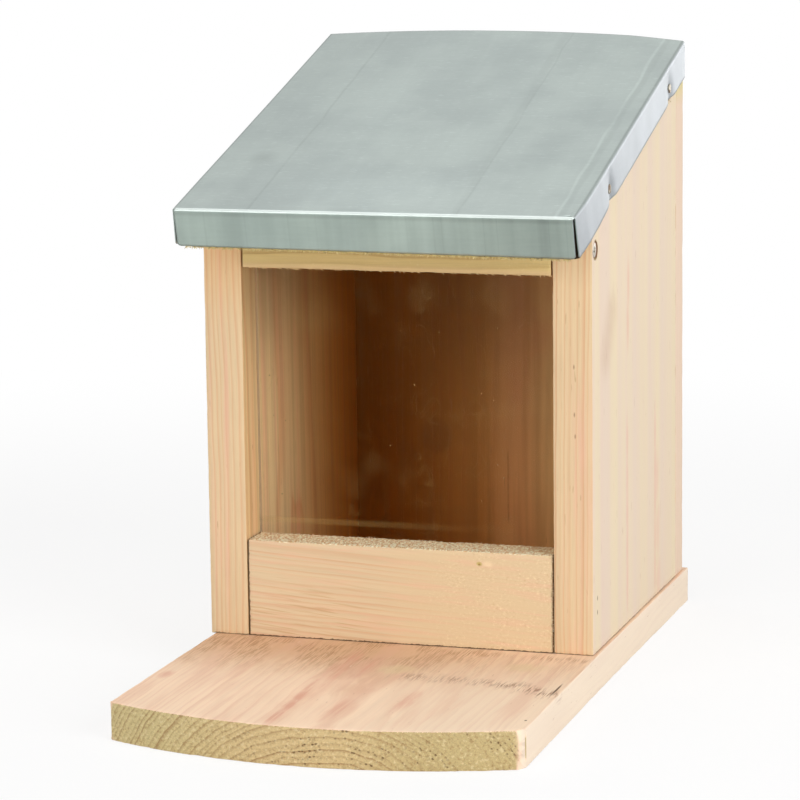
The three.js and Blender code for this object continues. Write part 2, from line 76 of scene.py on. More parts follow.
# How the wood is worn: the spans in mm of the two noises that wear an arris, the share of the
# finer one, how much is worn between them, and how squarely a face looks the way of what
# roughens or frays it
wear_spans = (7, 1.6)
fine_wear_share = 0.7
even_wear = 0.1
roughened_from = 0.6
frayed_from = 0.3

# Torn fibres: the least share of their length, how far they stray from their lean, how far out
# the middle of one lies, their width and the share of it at the tip, and how many are made at once
splinter_least = 0.35
splinter_stray = 0.8
splinter_lift = 0.25
splinter_width = (0.1 * mm, 0.24 * mm)
splinter_tip = 0.2
splinter_batch = 40

# Sizes of the lid: its board lies in the folded sheet
lid_clearance = 0.3 * mm
board_thickness = 14 * mm
board_corner = 2.6 * mm
board_sag = 2.0 * mm
sag_left_share = 0.3
sag_reach_share = 0.8
sheet_clearance = 0.3 * mm
sheet_thickness = 0.4 * mm
fold_radius = 0.7 * mm
fold_facet = 0.4 * mm
flange_depth = 13.9 * mm
flange_extra = (0.7 * mm, 2.0 * mm)
extra_from = 20 * mm
flange_clip = 0.8 * mm
flange_lean = 0.5 * mm
front_corner_gap = 0.65 * mm
corner_pinch = 0.8 * mm
corner_reach = 14 * mm
rear_skew = 2.4 * mm
skew_reach = 24 * mm
rear_taper = (0.7 * mm, 1.3 * mm)
rear_twist = (0.6 * mm, -0.42 * mm)
rear_bow = 2.3 * mm
bow_from_share = 0.25
board_bow_share = 0.8
ragged_depth = 0.12 * mm
ragged_span = 2.4 * mm
dent_depth = 1.2 * mm
dent_reach = 4.0 * mm
dent_sharpness = 1.5
dent_below_nail = 1.1
dent_fade = 1.3
board_dent_extra = 1 * mm
board_face_margin = 0.1 * mm
side_fray_inset = 1 * mm
nail_seat = 0.4 * mm

# Steps of the sheet's grid, and how wide its finer strips beside the folds are
fold_step = 0.25 * mm
flange_step = 0.7 * mm
flat_step = 2 * mm
slope_step = 1 * mm
side_strip = 4 * mm
front_strip = 6 * mm

# Sizes of the fasteners
wood_screw = dict(head=3.2 * mm, rim=0.35 * mm, head_height=2.2 * mm, shank=1.45 * mm,
                  tip=5 * mm, recess=2.1 * mm, slot=0.6 * mm, recess_depth=1.6 * mm)
small_screw = dict(head=2.1 * mm, rim=0.2 * mm, head_height=1.3 * mm, shank=0.95 * mm,
                   tip=2.5 * mm, recess=1.1 * mm, slot=0.32 * mm, recess_depth=0.75 * mm)
roof_nail = dict(head=1.8 * mm, rim=0.55 * mm, head_height=0.55 * mm, shank=0.75 * mm, tip=2 * mm)
head_flat_share = 0.9
head_round_share = 0.35
neck_share = 1.15
neck_height = 0.4 * mm
recess_foot = (0.35, 0.6)
recess_above = 1 * mm
recess_turn = 0.4
sink_clearance = 0.3 * mm
sink_above = 2 * mm
sink_depth = 4 * mm

# Sizes of the hinges and the hanger
leaf_thickness = 0.9 * mm
leaf_corner = 1.5 * mm
knuckle_radius = 2.2 * mm
knuckle_gap = 0.35 * mm
root_inset = 0.03 * mm
pin_radius = 1 * mm
pin_clearance = 0.3 * mm
pin_head_radius = 1.5 * mm
pin_head_height = 0.6 * mm
pin_flat_share = 0.8
pin_round_shares = (0.2, 0.6)
keyhole_radius = 4.8 * mm
keyhole_slot = 2.4 * mm
keyhole_cutter = 4 * mm
metal_edge = 0.12 * mm

# Steps of round shapes, angles in degrees over which an edge is sharp, and the distance under
# which corners are one
round_sides = 32
half_round_steps = 24
corner_steps = 6
keyhole_steps = (32, 16)
wood_sharp = 50
metal_sharp = 60
shading_sharp = 38
sheet_shading_sharp = 60
merge_distance = 0.001 * mm

# The light: how strong the world is for all but the rays that see it, and each lamp's name, the
# way to it, its distance and its size in metres, and how far it alone would light a white face
world_level = 0.25
lamps_aim = Vector((0, 0, 0.11))
lamps = (
    ("right_lamp", (0.80, -0.50, 0.34), 1.7, 1.1, 0.66),
    ("left_lamp", (-0.34, -0.92, 0.20), 1.9, 1.1, 0.35),
    ("top_lamp", (0.0, -0.15, 0.99), 1.7, 1.3, 0.35),
    ("back_lamp", (0.35, 0.93, 0.10), 1.8, 0.9, 0.20),
    ("left_rear_lamp", (-0.88, 0.45, 0.12), 1.8, 0.9, 0.30),
)

# The floor, whose shadow share fades out between two distances in mm
floor_half = 8
floor_pale = 0.76
floor_shadow_share = 0.22
floor_clear = (300, 750)
white = (1, 1, 1, 1)

# Where things lie, from the frame
side_low, side_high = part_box("left_side")
right_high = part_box("right_side")[1]
back_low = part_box("back_board")[0]
board_low, board_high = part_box("front_board")
rail_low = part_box("top_rail")[0]
pane_low, pane_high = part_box("window_pane")
sheet_low, sheet_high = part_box("roof_sheet")
slope = math.atan2(side_rise, side_high.y - side_low.y)
front_top = side_high.z - side_rise
half_roof = (sheet_high.x - sheet_low.x) / 2
lid_origin = Vector(((sheet_high.x + sheet_low.x) / 2, side_low.y, front_top))
lid_turn = Matrix.Translation(lid_origin) @ Matrix.Rotation(slope, 4, "X")
sheet_top = lid_clearance + board_thickness + sheet_clearance + sheet_thickness
roof_front = (sheet_low.y - side_low.y + sheet_top * math.sin(slope)) / math.cos(slope)
rear_reach = sheet_high.y - side_low.y

# The same in mm, for the finishes
box_half_mm = (right_high.x - side_low.x) / 2 / mm
box_middle_mm = (right_high.x + side_low.x) / 2 / mm
box_front_mm = side_low.y / mm
base_top_mm = side_low.z / mm
back_face_mm = back_low.y / mm
board_half_mm = (board_high.x - board_low.x) / 2 / mm
rail_low_mm = rail_low.z / mm
roof_half_mm = half_roof / mm
roof_front_mm = roof_front / mm

RIGHT, LEFT = Vector((1, 0, 0)), Vector((-1, 0, 0))
FORWARD, UP = Vector((0, -1, 0)), Vector((0, 0, 1))

# Turns a shape drawn flat, with X to the right and Y up, so that it looks out of the back
facing_back = Matrix.Rotation(math.pi / 2, 4, "X")


def plumb_end(off):
    """How far along the slope the lid ends where it is sawn plumb, at a height off the slope"""
    return (rear_reach + off * math.sin(slope)) / math.cos(slope)


def on_slope(place):
    """A place in the lid's own frame: along the slope, and off it"""
    own = lid_turn.inverted() @ place
    return own.y, own.z


def fasteners(*starts):
    return sorted(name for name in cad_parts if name.startswith(starts))


def way_in(name):
    """The direction in which a fastener is driven"""
    if name.startswith(("rail_screw", "roof_nail")):
        return RIGHT if "left" in name else LEFT
    if name.startswith(("side_screw", "hinge_screw", "hanger_screw")):
        return FORWARD
    return UP


def head_of(name):
    """The centre of a fastener's head, from its CAD node"""
    low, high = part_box(name)
    into = way_in(name)
    return (low + high) / 2 - into * abs((high - low).dot(into)) / 2


nail_places = {name: on_slope(head_of(name)) for name in fasteners("roof_nail")}


def paint(red, green, blue):
    """A colour as it shows on a screen, from 0 to 255, made linear"""
    shares = [value / 255 for value in (red, green, blue)]
    linear = [s / 12.92 if s < 0.04045 else ((s + 0.055) / 1.055) ** 2.4 for s in shares]
    return (*linear, 1)


def reckoned(operation, turned=False):
    """A method that adds a node for an operation, its two values the other way round if turned"""
    def method(self, other):
        pair = (other, self) if turned else (self, other)
        return self.sum(operation, *pair)
    return method


class Value:
    """A value in a node tree, on which sums are written as expressions"""

    def __init__(self, tree, socket):
        self.tree = tree
        self.socket = socket

    def is_vector(self):
        return self.socket.type == "VECTOR"

    def sum(self, operation, *values):
        """A Math node, or a Vector Math node where one of the values is a vector"""
        kind = "Math"
        if any(isinstance(v, Vector) or isinstance(v, Value) and v.is_vector() for v in values):
            kind = "VectorMath"
            values = [v if isinstance(v, (Value, Vector)) else Vector((v, v, v)) for v in values]
        return self.tree.node(kind, {"operation": operation}, dict(enumerate(values)))

    __add__ = reckoned("ADD")
    __radd__ = reckoned("ADD", True)
    __sub__ = reckoned("SUBTRACT")
    __rsub__ = reckoned("SUBTRACT", True)
    __mul__ = reckoned("MULTIPLY")
    __rmul__ = reckoned("MULTIPLY", True)
    __truediv__ = reckoned("DIVIDE")
    __rtruediv__ = reckoned("DIVIDE", True)
    larger = reckoned("MAXIMUM")
    smaller = reckoned("MINIMUM")

    def __neg__(self):
        return self * -1

    def fraction(self):
        return self.sum("FRACT", self)

    def size(self):
        return self.sum("ABSOLUTE", self)

    def length(self):
        return self.tree.node("VectorMath", {"operation": "LENGTH"}, {0: self}, "Value")

    def rise(self, start, end):
        """0 below start, 1 above end, and smooth between; start may be the larger one"""
        return self.tree.node("MapRange", {"interpolation_type": "SMOOTHSTEP"},
                              {"Value": self, "From Min": start, "From Max": end})


class Tree:
    """A node tree, with one method that adds a node"""

    def __init__(self, node_tree):
        self.node_tree = node_tree

    def node(self, kind, settings=None, inputs=None, output=0):
        """Adds a node, with its settings first and then the values or links of its sockets"""
        made = self.node_tree.nodes.new("ShaderNode" + kind)
        for key, setting in (settings or {}).items():
            if key == "stops":
                self.set_stops(made.color_ramp, setting)
            else:
                setattr(made, key, setting)
        for key, value in (inputs or {}).items():
            self.join(made.inputs[key], value)
        return Value(self, made.outputs[output])

    def set_stops(self, ramp, stops):
        while len(ramp.elements) < len(stops):
            ramp.elements.new(1)
        for element, (position, level) in zip(ramp.elements, stops):
            element.position = position
            element.color = (level, level, level, 1)

    def join(self, socket, value):
        if isinstance(value, Value):
            self.node_tree.links.new(value.socket, socket)
        else:
            socket.default_value = value

    def parts(self, vector):
        split = self.node("SeparateXYZ", None, {0: vector}).socket.node
        return [Value(self, output) for output in split.outputs]

    def vector(self, x, y, z):
        return self.node("CombineXYZ", None, {0: x, 1: y, 2: z})

    def noise(self, place, detail=2, roughness=0.5, output="Fac"):
        """Noise at a place, which may be given as its three parts"""
        if isinstance(place, tuple):
            place = self.vector(*place)
        inputs = {"Vector": place, "Scale": 1, "Detail": detail, "Roughness": roughness}
        return self.node("TexNoise", None, inputs, output)

    def soft_noise(self, place):
        """Three noises made grey, which strays less far from a half than one noise does"""
        return self.node("RGBToBW", None, {"Color": self.noise(place, output="Color")})

    def line_noise(self, place, detail=1):
        inputs = {"W": place, "Scale": 1, "Detail": detail}
        return self.node("TexNoise", {"noise_dimensions": "1D"}, inputs, "Fac")

    def cells(self, place):
        return self.node("TexVoronoi", None, {"Vector": place, "Scale": 1}, "Distance")

    def grey(self, level):
        return self.node("CombineColor", None, {0: level, 1: level, 2: level})

    def blend(self, factor, first, second, mode="MIX"):
        """Mixes two colours"""
        settings = {"data_type": "RGBA", "blend_type": mode}
        return self.node("Mix", settings, {0: factor, 6: first, 7: second}, 2)

    def shade(self, colour, factor):
        """A colour made darker or lighter by a number"""
        return self.blend(1, colour, self.grey(factor), "MULTIPLY")


class Finish(Tree):
    """A material: its node tree, its shader and its colour so far. Its places are in mm."""

    def __init__(self, name):
        self.material = bpy.data.materials.new(name)
        self.material.use_nodes = True
        super().__init__(self.material.node_tree)
        self.shader = self.node_tree.nodes["Principled BSDF"]
        self.place = self.node("TexCoord", output="Object") / mm
        self.colour = None

    def sloped(self, vector):
        """A vector turned into the lid's own frame"""
        return self.node("VectorRotate", {"rotation_type": "X_AXIS"},
                         {"Vector": vector, "Angle": -slope})

    def looks_along(self, sloping=False):
        """How far a face looks along X, Y and Z, or along the lid's own axes"""
        facing = self.node("TexCoord", output="Normal")
        return self.parts(self.sloped(facing) if sloping else facing)

    def bring(self, mask, tone, mode="MIX"):
        """Brings a tone in where a mask is 1"""
        self.colour = self.blend(mask, self.colour, tone, mode)

    def tint(self, mask, tone):
        """Multiplies the colour by a tone where a mask is 1"""
        self.bring(mask, tone, "MULTIPLY")

    def lighten(self, factor):
        """Makes the colour lighter, or darker below 1"""
        self.colour = self.shade(self.colour, factor)

    def set(self, **sockets):
        for key, value in sockets.items():
            self.join(self.shader.inputs[key.replace("_", " ")], value)

    def bump(self, height, distance, strength):
        inputs = {"Height": height, "Distance": distance, "Strength": strength}
        self.set(Normal=self.node("Bump", None, inputs, "Normal"))

    def own_shader(self):
        return Value(self, self.shader.outputs[0])

    def show(self, factor, first, second):
        """Makes the surface a mix of two shaders"""
        mixed = self.node("MixShader", None, {0: factor, 1: first, 2: second})
        self.join(self.node_tree.nodes["Material Output"].inputs["Surface"], mixed)


class Pine(Finish):
    """Pine, sawn from a log with its rings round a pith line that runs along the grain's axis. Its
    face is the one that marks lie on: the axis that it looks along, and where it lies on it."""

    def __init__(self, name, grain, pith, ring, pale, late, face=None, contrast=0.6, wobble=5.0,
                 sloping=False, seed=0.0, lean=(0.0, 0.0), tighten=0.0, streaky=1.0):
        super().__init__(name)
        self.face = face
        self.seed = seed
        self.at = self.parts(self.place)
        self.looks = self.looks_along(sloping)
        self.end = self.looks[grain].size().rise(0.75, 0.93)
        own_place = self.sloped(self.place) if sloping else self.place
        from_pith = self.parts(own_place - Vector(pith))
        self.run = from_pith.pop(grain)
        self.first, self.second = [part + self.run * tilt if tilt else part
                                   for part, tilt in zip(from_pith, lean)]
        shift = (self.soft_noise(self.stretched(60, 170)) - 0.5) * (2 * wobble)
        ripple = (self.noise(self.stretched(8, 34)) - 0.5) * (0.5 * ring)
        radius = (self.vector(self.first, self.second, 0) + shift).length() + ripple
        if tighten:
            radius = radius * (radius * tighten + 1)
        uneven = (self.line_noise(radius / (3.5 * ring)) - 0.5) * 1.6
        count = radius / ring + uneven
        stops = [(0, 0.12), (0.15, 0), (0.5, 0.12), (0.8, 0.75), (0.9, 1), (1, 0.12)]
        self.late = self.node("ValToRGB", {"stops": stops}, {"Fac": count.fraction()})
        self.depth = self.line_noise(count * 0.45 + seed).rise(0.25, 0.75) * 0.75 + 0.25
        self.torn = self.soft_noise(self.stretched(2, 9)) - 0.5
        self.colour = self.blend(self.late * self.depth * contrast, pale, late)
        fibre = self.noise(self.stretched(0.4, 13), 3, 0.65)
        streak = self.noise(self.stretched(1.5, 80))
        broad = self.noise(self.stretched(13, 60))
        tone = (fibre - 0.5) * (0.26 * streaky) + (streak - 0.5) * (0.2 * streaky)
        self.lighten(1 + tone + (broad - 0.5) * 0.14)
        self.height = fibre * 0.6 - self.late * 0.25

    def stretched(self, across, run):
        """A place for a pattern that is so many mm wide across the grain and long along it"""
        shift = self.seed * 7.3
        return self.vector(
            self.first / across + shift, self.second / across - shift, self.run / run + shift)

    def flush(self, tone, amount, width, length, least):
        """Pinkish streaks along the grain"""
        mask = self.noise(self.stretched(width, length), 3, 0.6).rise(least, least + 0.22)
        self.bring(mask * amount, tone)

    def flecks(self, tone, size, length):
        """Short dashes along the grain: resin ducts and torn fibres"""
        mask = self.noise(self.stretched(size, length), 1).rise(0.72, 0.8)
        self.bring(mask * 0.4, tone)

    def hatch(self, size, length, seed=0.0):
        """1 in thin broken lines along the grain, 0 between them"""
        return self.noise(self.stretched(size, length) + seed, 2, 0.6).rise(0.42, 0.6)

    def ends(self, pale, dark, pore_rows=1.0, ring_share=1.0):
        """Sawn ends across the grain, with their rings and open pores"""
        rings = self.blend(self.late * self.depth * ring_share * 0.75, pale, dark)
        cross = self.vector(self.first, self.second, self.run * 0.4)
        grit = self.noise(cross / 0.5, 4, 0.7)
        crumbs = self.noise(cross / 1.1 + 3.3)
        rings = self.shade(rings, 1 + (grit - 0.5) * 0.85)
        rings = self.blend(crumbs.rise(0.56, 0.68) * 0.4, rings, dark)
        rings = self.blend(crumbs.rise(0.42, 0.34) * 0.35, rings, end_pale)
        mottle = self.noise(cross / 8).rise(0.36, 0.6)
        in_rows = (self.late * 0.85 + 0.1) * pore_rows
        pitted = self.cells(cross / 1.25).rise(0.45, 0.26) * in_rows * mottle
        self.bring(self.end, self.blend(pitted, rings, pore_brown))
        rough = grit * 2.2 - pitted * 2
        self.height = self.height * (1 - self.end) + rough * self.end

    def placed(self, place):
        """A place from three numbers, or from two on the face that marks lie on"""
        if len(place) == 2:
            axis, height = self.face
            place = place[:axis] + (height,) + place[axis:]
        return Vector(place)

    def near(self, places, size, soft, ragged):
        """1 near any of some places, 0 outside, with a soft ragged rim"""
        spread = Vector([1 / value for value in size])
        here = self.place * spread + self.torn * (2 * ragged)
        nearest = None
        for place in places:
            distance = (here - self.placed(place) * spread).length()
            nearest = distance if nearest is None else nearest.smaller(distance)
        return nearest.rise(1, 1 - soft)

    def spot(self, places, size, tone, amount, soft=0.6, ragged=0.4, through=1.0, sink=0.0):
        """Spots of so many mm along X, Y and Z, seen through a mask, and sunk if asked"""
        mask = self.near(places, size, soft, ragged) * through
        self.bring(mask * amount, tone)
        if sink:
            self.height = self.height - mask * sink

    def joint(self, distance, amount):
        """A broken dark line beside a joint, from how far away the joint is"""
        ragged = (self.noise(self.place / 1.4) - 0.5) * 1.1
        self.bring((distance.size() + ragged).rise(0.6, 0.27) * amount, gap_brown)

    def done(self):
        self.set(Base_Color=self.colour, Roughness=0.74 - self.late * 0.12, Specular_IOR_Level=0.32)
        self.bump(self.height, 0.12 * mm, 0.5)
        return self


# Colours of the pine
pink = paint(232, 178, 156)
rose = paint(222, 158, 134)
late_pink = paint(226, 172, 144)
late_peach = paint(208, 152, 108)
late_brown = paint(170, 124, 80)
cream = paint(230, 206, 156)
end_pale = paint(236, 220, 176)
end_green = paint(206, 188, 138)
end_brown = paint(150, 120, 74)
dark_end_and_shade = paint(150, 112, 68)
pore_brown = paint(84, 56, 26)
gap_brown = paint(74, 48, 20)
bruise_brown = paint(128, 84, 54)


def base_pine():
    """Rosy at the front; by the box tan and brushed, with dirt and painted shade; an end of green-brown
    rings
    """
    wood = Pine("pine_of_base", 1, (6, 0, -38), 4.2, paint(254, 224, 194), late_pink,
                face=(2, base_top_mm), contrast=0.4, wobble=6, seed=1, tighten=1 / 120,
                streaky=0.55)
    x, y = wood.at[:2]
    top = wood.looks[2].rise(0.6, 0.9)
    # Tan by the box: dirt and painted shade
    by_box = (y + wood.torn * 26).rise(-80, -30)
    tan = by_box * (1 - x.rise(-8, 60) * 0.7) * top
    hatch = wood.hatch(0.5, 10)
    patchy = wood.noise(wood.stretched(13, 26) + 5.5).rise(0.4, 0.56)
    wood.bring(tan * 0.7, paint(208, 164, 122))
    wood.bring(tan * hatch * patchy * 0.6, paint(172, 124, 84))
    middle = [(2, -86), (6, -70), (-4, -60)]
    wood.spot(middle, (12, 18, 5), paint(220, 174, 142), 0.5, 0.9, 0.6)
    wood.bring(top * (1 - by_box) * x.rise(0, 50) * 0.4, paint(240, 222, 196))
    wood.flush(paint(230, 184, 158), 0.45, 10, 90, 0.46)
    wood.bring(wood.looks[0].size().rise(0.6, 0.9) * 0.75, paint(242, 228, 208))
    # Pink streaks along the grain
    drawn_out = wood.hatch(1.6, 60, 2) * 0.7 + 0.3
    long_streak = [(-12, -42 - 14 * step) for step in range(7)]
    wood.spot(long_streak, (5.5, 16, 6), rose, 0.7, 0.9, 0.5, drawn_out)
    streaks = [(-2, -52), (26, -96), (6, -112)]
    wood.spot(streaks, (5, 22, 5), paint(226, 166, 142), 0.6, 0.9, 0.5, drawn_out)
    wood.spot([(-70, -81)], (3.5, 8, 4), rose, 0.5, 0.8, 0.5)
    wood.spot([(10, -54), (54, -40)], (10, 9, 5), paint(232, 208, 166), 0.55, 0.8, 0.7)
    # Scuffs in front of the box
    brushed = wood.hatch(0.7, 9, 4)
    scuffs = [(18, -63), (32, -63.5), (46, -64.5), (55, -66), (64, -70), (71, -75)]
    wood.spot(scuffs, (10, 8, 5), paint(168, 124, 96), 0.6, 0.9, 0.8, brushed)
    wood.spot(scuffs[3:], (8, 4, 5), paint(140, 98, 72), 0.6, 0.9, 0.8, brushed)
    # Brown just before the box: dirt and painted shade
    by_corner = [(30, -24), (64, -25)]
    wood.spot(by_corner, (22, 6, 4), paint(178, 132, 92), 0.6, 0.9, 0.8, hatch)
    # A split and a dark fleck beside the right edge
    wood.spot([(72.9, -68)], (0.55, 11, 3), gap_brown, 0.9, 0.6, 0.3, sink=2)
    wood.spot([(73.1, -110.9)], (0.6, 0.9, 3), gap_brown, 0.9)
    wood.flecks(late_brown, 0.7, 7)
    wood.flecks(paint(250, 232, 210), 0.6, 5)
    # The sawn front end, paler and greener to the left
    pale = wood.blend(x.rise(-10, -60), paint(210, 184, 134), paint(208, 190, 138))
    pale = wood.blend(x.rise(10, 45) * 0.8, pale, paint(188, 168, 118))
    wood.ends(pale, paint(150, 108, 62), pore_rows=x.rise(-40, 5) * 0.85 + 0.15,
              ring_share=1 - x.rise(25, 60) * 0.75)
    wood.spot([(74, -121, 9), (73.5, -122, 5)], (2.5, 3, 2.5), paint(150, 96, 60), 0.7, 0.9, 0.9)
    return wood.done()


def side_pine(side_name, out, seed):
    """One side board; out is 1 where its outer face looks along X, -1 where it looks against X"""
    wood = Pine(f"pine_of_{side_name}_side", 2, (-110 * out, 40, 0), 1.9, paint(224, 198, 158),
                paint(214, 158, 118), face=(0, box_half_mm * out + box_middle_mm), contrast=0.75,
                wobble=4.5, seed=seed, lean=(0.0, 0.02), streaky=0.7)
    y, height = wood.at[1:]
    outer = (wood.looks[0] * out).rise(0.5, 0.8)
    inner = (wood.looks[0] * -out).rise(0.5, 0.8)
    wood.flush(pink, 0.5, 5, 150, 0.5)
    bands = wood.line_noise(y / 24 + seed + 0.6, 2).rise(0.35, 0.65)
    wood.bring(outer * 0.85, wood.blend(bands, paint(236, 219, 188), paint(233, 213, 195)))
    lines = [(along, low + 14 * step) for along, low in ((37, 30), (84, 25)) for step in range(5)]
    wood.spot(lines, (4, 2.6, 16), paint(230, 182, 162), 0.5, 0.9, 0.5)
    flushed = [(90, 20), (89, 40), (87, 62)]
    wood.spot(flushed, (4, 6, 16), paint(232, 190, 172), 0.5, 0.9, 0.5)
    if out > 0:
        # A brownish stain, a pink line and small dark dashes, which only the right board has
        stain = [(3 + 3 * step, 123 + 5 * step) for step in range(4)]
        wood.spot(stain, (4, 13, 13), paint(208, 178, 150), 0.45, 1.0, 0.4)
        wood.spot([(38, 130), (39, 146)], (4, 3, 15), paint(228, 176, 152), 0.5, 0.9, 0.3)
        dashes = [(x, box_front_mm, z)
                  for x, z in ((66.7, 121.8), (66.8, 104.1), (66.5, 167.7), (67.1, 96.1))]
        wood.spot(dashes, (0.45, 1.2, 1.3), bruise_brown, 0.6, 0.8, 0.1)
        wood.spot([(-10.5, 34.6), (-10.6, 29.3)], (2, 0.7, 1.3), bruise_brown, 0.8)
    # Painted shade on the inner face: pale by the pane, tan and darker towards the back, lighter lower
    # down and darker higher up
    deep = y.rise(15, 115)
    wood.bring(inner * deep * 0.4, paint(214, 176, 132))
    wood.tint(inner, wood.blend(deep, paint(255, 250, 232), paint(224, 178, 88)))
    wood.lighten(1 + inner * (height.rise(150, 110) * 0.12 - height.rise(100, 150) * 0.14))
    wood.bring(inner * wood.hatch(3.5, 160, 7) * 0.18, paint(150, 108, 66))
    wood.flecks(late_brown, 0.8, 8)
    # Painted light: the left board's front edge lighter and warmer near its top
    if out < 0:
        ahead = (-wood.looks[1]).rise(0.6, 0.9) * height.rise(125, 165)
        wood.lighten(1 + ahead * 0.12)
        wood.tint(ahead, paint(255, 244, 232))
    # Wood bruised brown round the rail screw's head
    screw = head_of("rail_screw_" + side_name) / mm
    wood.spot([(screw.y, screw.z)], (4.1, 4.1, 4.1), bruise_brown, 0.9, 0.2, 0.08)
    wood.ends(end_green, end_brown)
    wood.joint(height - base_top_mm, 0.6)
    return wood.done()


def front_pine():
    """Fine lines to the left, fuzz to the right, a small knot and a coarsely sawn top"""
    wood = Pine("pine_of_front_board", 0, (0, 14, -52), 2.1, paint(222, 198, 161),
                paint(214, 166, 128), face=(1, box_front_mm), contrast=0.8, wobble=8, seed=3,
                lean=(0.0, 0.055), streaky=0.6)
    x, y, z = wood.at
    wood.bring(x.rise(-20, 24) * 0.85, paint(224, 198, 158))
    wood.flush(paint(230, 188, 156), 0.5, 2.6, 30, 0.46)
    lines = wood.noise((x / 26, y, (z + x * 0.1) / 0.9), 2, 0.6).rise(0.52, 0.66)
    wood.bring(lines * x.rise(5, -30) * z.rise(44, 24) * 0.6, paint(200, 160, 116))
    fuzz = wood.noise((x / 1.3, y, z / 0.8), 3, 0.7)
    clumps = wood.noise((x / 12, y, z / 9)).rise(0.3, 0.7)
    rough = x.rise(-8, 40) * (clumps * 0.8 + 0.2)
    wood.bring(fuzz.rise(0.54, 0.66) * rough * 0.6, paint(250, 232, 192))
    wood.bring(fuzz.rise(0.44, 0.34) * rough * 0.35, paint(190, 154, 108))
    knot, heart, beside = (30.2, 46.5), (30.2, 46.3), (33.5, 46.5)
    wood.spot([knot], (1.5, 3, 1.1), paint(190, 170, 92), 0.8, 0.6, 0.3)
    wood.spot([heart], (0.6, 3, 0.5), paint(140, 104, 56), 0.8, 0.6, 0.2)
    wood.spot([beside], (3, 4, 2), paint(246, 222, 184), 0.6, 0.9, 0.6)
    top = wood.looks[2].rise(0.5, 0.8)
    coarse = wood.noise((x / 0.8, y / 1.5, z / 0.8), 2, 0.6)
    wood.bring(top, wood.blend(coarse.rise(0.42, 0.56), paint(216, 176, 128), paint(255, 250, 220)))
    # Its ends, seen only in the joints with the sides: dark end grain and painted shade
    wood.bring(wood.end, dark_end_and_shade)
    wood.joint(z - base_top_mm, 0.9)
    wood.joint((x - box_middle_mm).size() - board_half_mm, 0.8 - x.rise(0, 40) * 0.3)
    wood.height = wood.height + fuzz * rough * 1.4 + coarse * top * 2
    return wood.done()


def rail_pine():
    """Yellowish and lightly fuzzy, redder at its lower edge"""
    wood = Pine("pine_of_top_rail", 0, (0, 60, 190), 1.6, paint(220, 196, 136),
                paint(180, 144, 84), wobble=3, seed=4, lean=(0.0, -0.02))
    z = wood.at[2]
    wood.bring(wood.noise(wood.place / 0.9, 3, 0.7).rise(0.56, 0.7) * 0.4, paint(228, 206, 156))
    wood.bring(z.rise(rail_low_mm + 3, rail_low_mm + 0.5) * 0.7, paint(224, 192, 146))
    # Its ends, seen only in the joints with the sides: dark end grain and painted shade
    wood.bring(wood.end, dark_end_and_shade)
    return wood.done()


def back_pine():
    """Its inner face has painted shade: dark and yellow-brown to the left, redder and lighter to the
    right
    """
    wood = Pine("pine_of_back_board", 2, (10, 60, 0), 1.9, paint(230, 202, 166), late_peach,
                face=(1, back_face_mm), contrast=0.5, wobble=8, seed=5)
    x, _, z = wood.at
    inner = (-wood.looks[1]).rise(0.5, 0.8)
    wood.flush(pink, 0.4, 8, 120, 0.52)
    # Painted shade on the inner face, darkest and yellow-brown to the left
    wood.bring(inner * 0.6, paint(222, 172, 118))
    painted_shade = wood.blend(x.rise(-50, 36), paint(168, 124, 10), cream)
    painted_shade = wood.blend(x.rise(-10, 8), painted_shade, paint(230, 206, 176))
    painted_shade = wood.blend(x.rise(8, 24), painted_shade, paint(238, 234, 204))
    wood.tint(inner, painted_shade)
    # Painted shade high in the middle of the inner face
    wood.lighten(1 - inner * z.rise(85, 130) * x.rise(-45, -22) * x.rise(22, 5) * 0.25)
    wood.spot([(-27, 68)], (8.5, 4, 9), paint(120, 80, 34), 0.35, 0.4, 0.15)
    wood.spot([(-55, 46), (-40, 60)], (7, 4, 12), paint(110, 72, 30), 0.2, 0.8, 0.4)
    pinkish = [(23, 135), (18, 112), (8, 90)]
    wood.spot(pinkish, (8, 4, 16), paint(196, 120, 84), 0.25, 0.9, 0.5)
    crack = [(3.5, 36 + 4 * step) for step in range(7)]
    wood.spot(crack, (0.7, 3, 5), paint(110, 64, 30), 0.3, 0.9, 0.2)
    # Painted light on the lower part of the inner face
    wood.lighten(1 + inner * z.rise(95, 35) * 0.35)
    wood.bring(inner * wood.hatch(7, 220, 3) * 0.3, paint(150, 104, 50))
    wood.flecks(late_brown, 0.8, 9)
    edge = wood.looks[0].size().rise(0.6, 0.9)
    wood.bring(edge * 0.7, paint(236, 212, 192))
    wood.bring(edge * z.rise(204, 215) * 0.8, paint(222, 210, 140))
    wood.ends(end_green, end_brown)
    return wood.done()


def lid_pine():
    """Its front corners lie in the dark under the folded sheet, and carry painted shade"""
    wood = Pine("pine_of_lid_board", 1, (-20, 0, 120), 2.0, paint(222, 204, 150),
                late_brown, contrast=0.5, wobble=6, sloping=True, seed=6)
    wood.ends(paint(212, 198, 124), end_brown)
    x, y = wood.at[:2]
    # Painted shade on the front corners, which show in the gaps between the flanges
    from_middle = (x - lid_origin.x / mm).size()
    corner = from_middle.rise(roof_half_mm - 3.6, roof_half_mm - 2.6)
    wood.bring(corner * y.rise(-36, -43), paint(56, 42, 24))
    return wood.done()


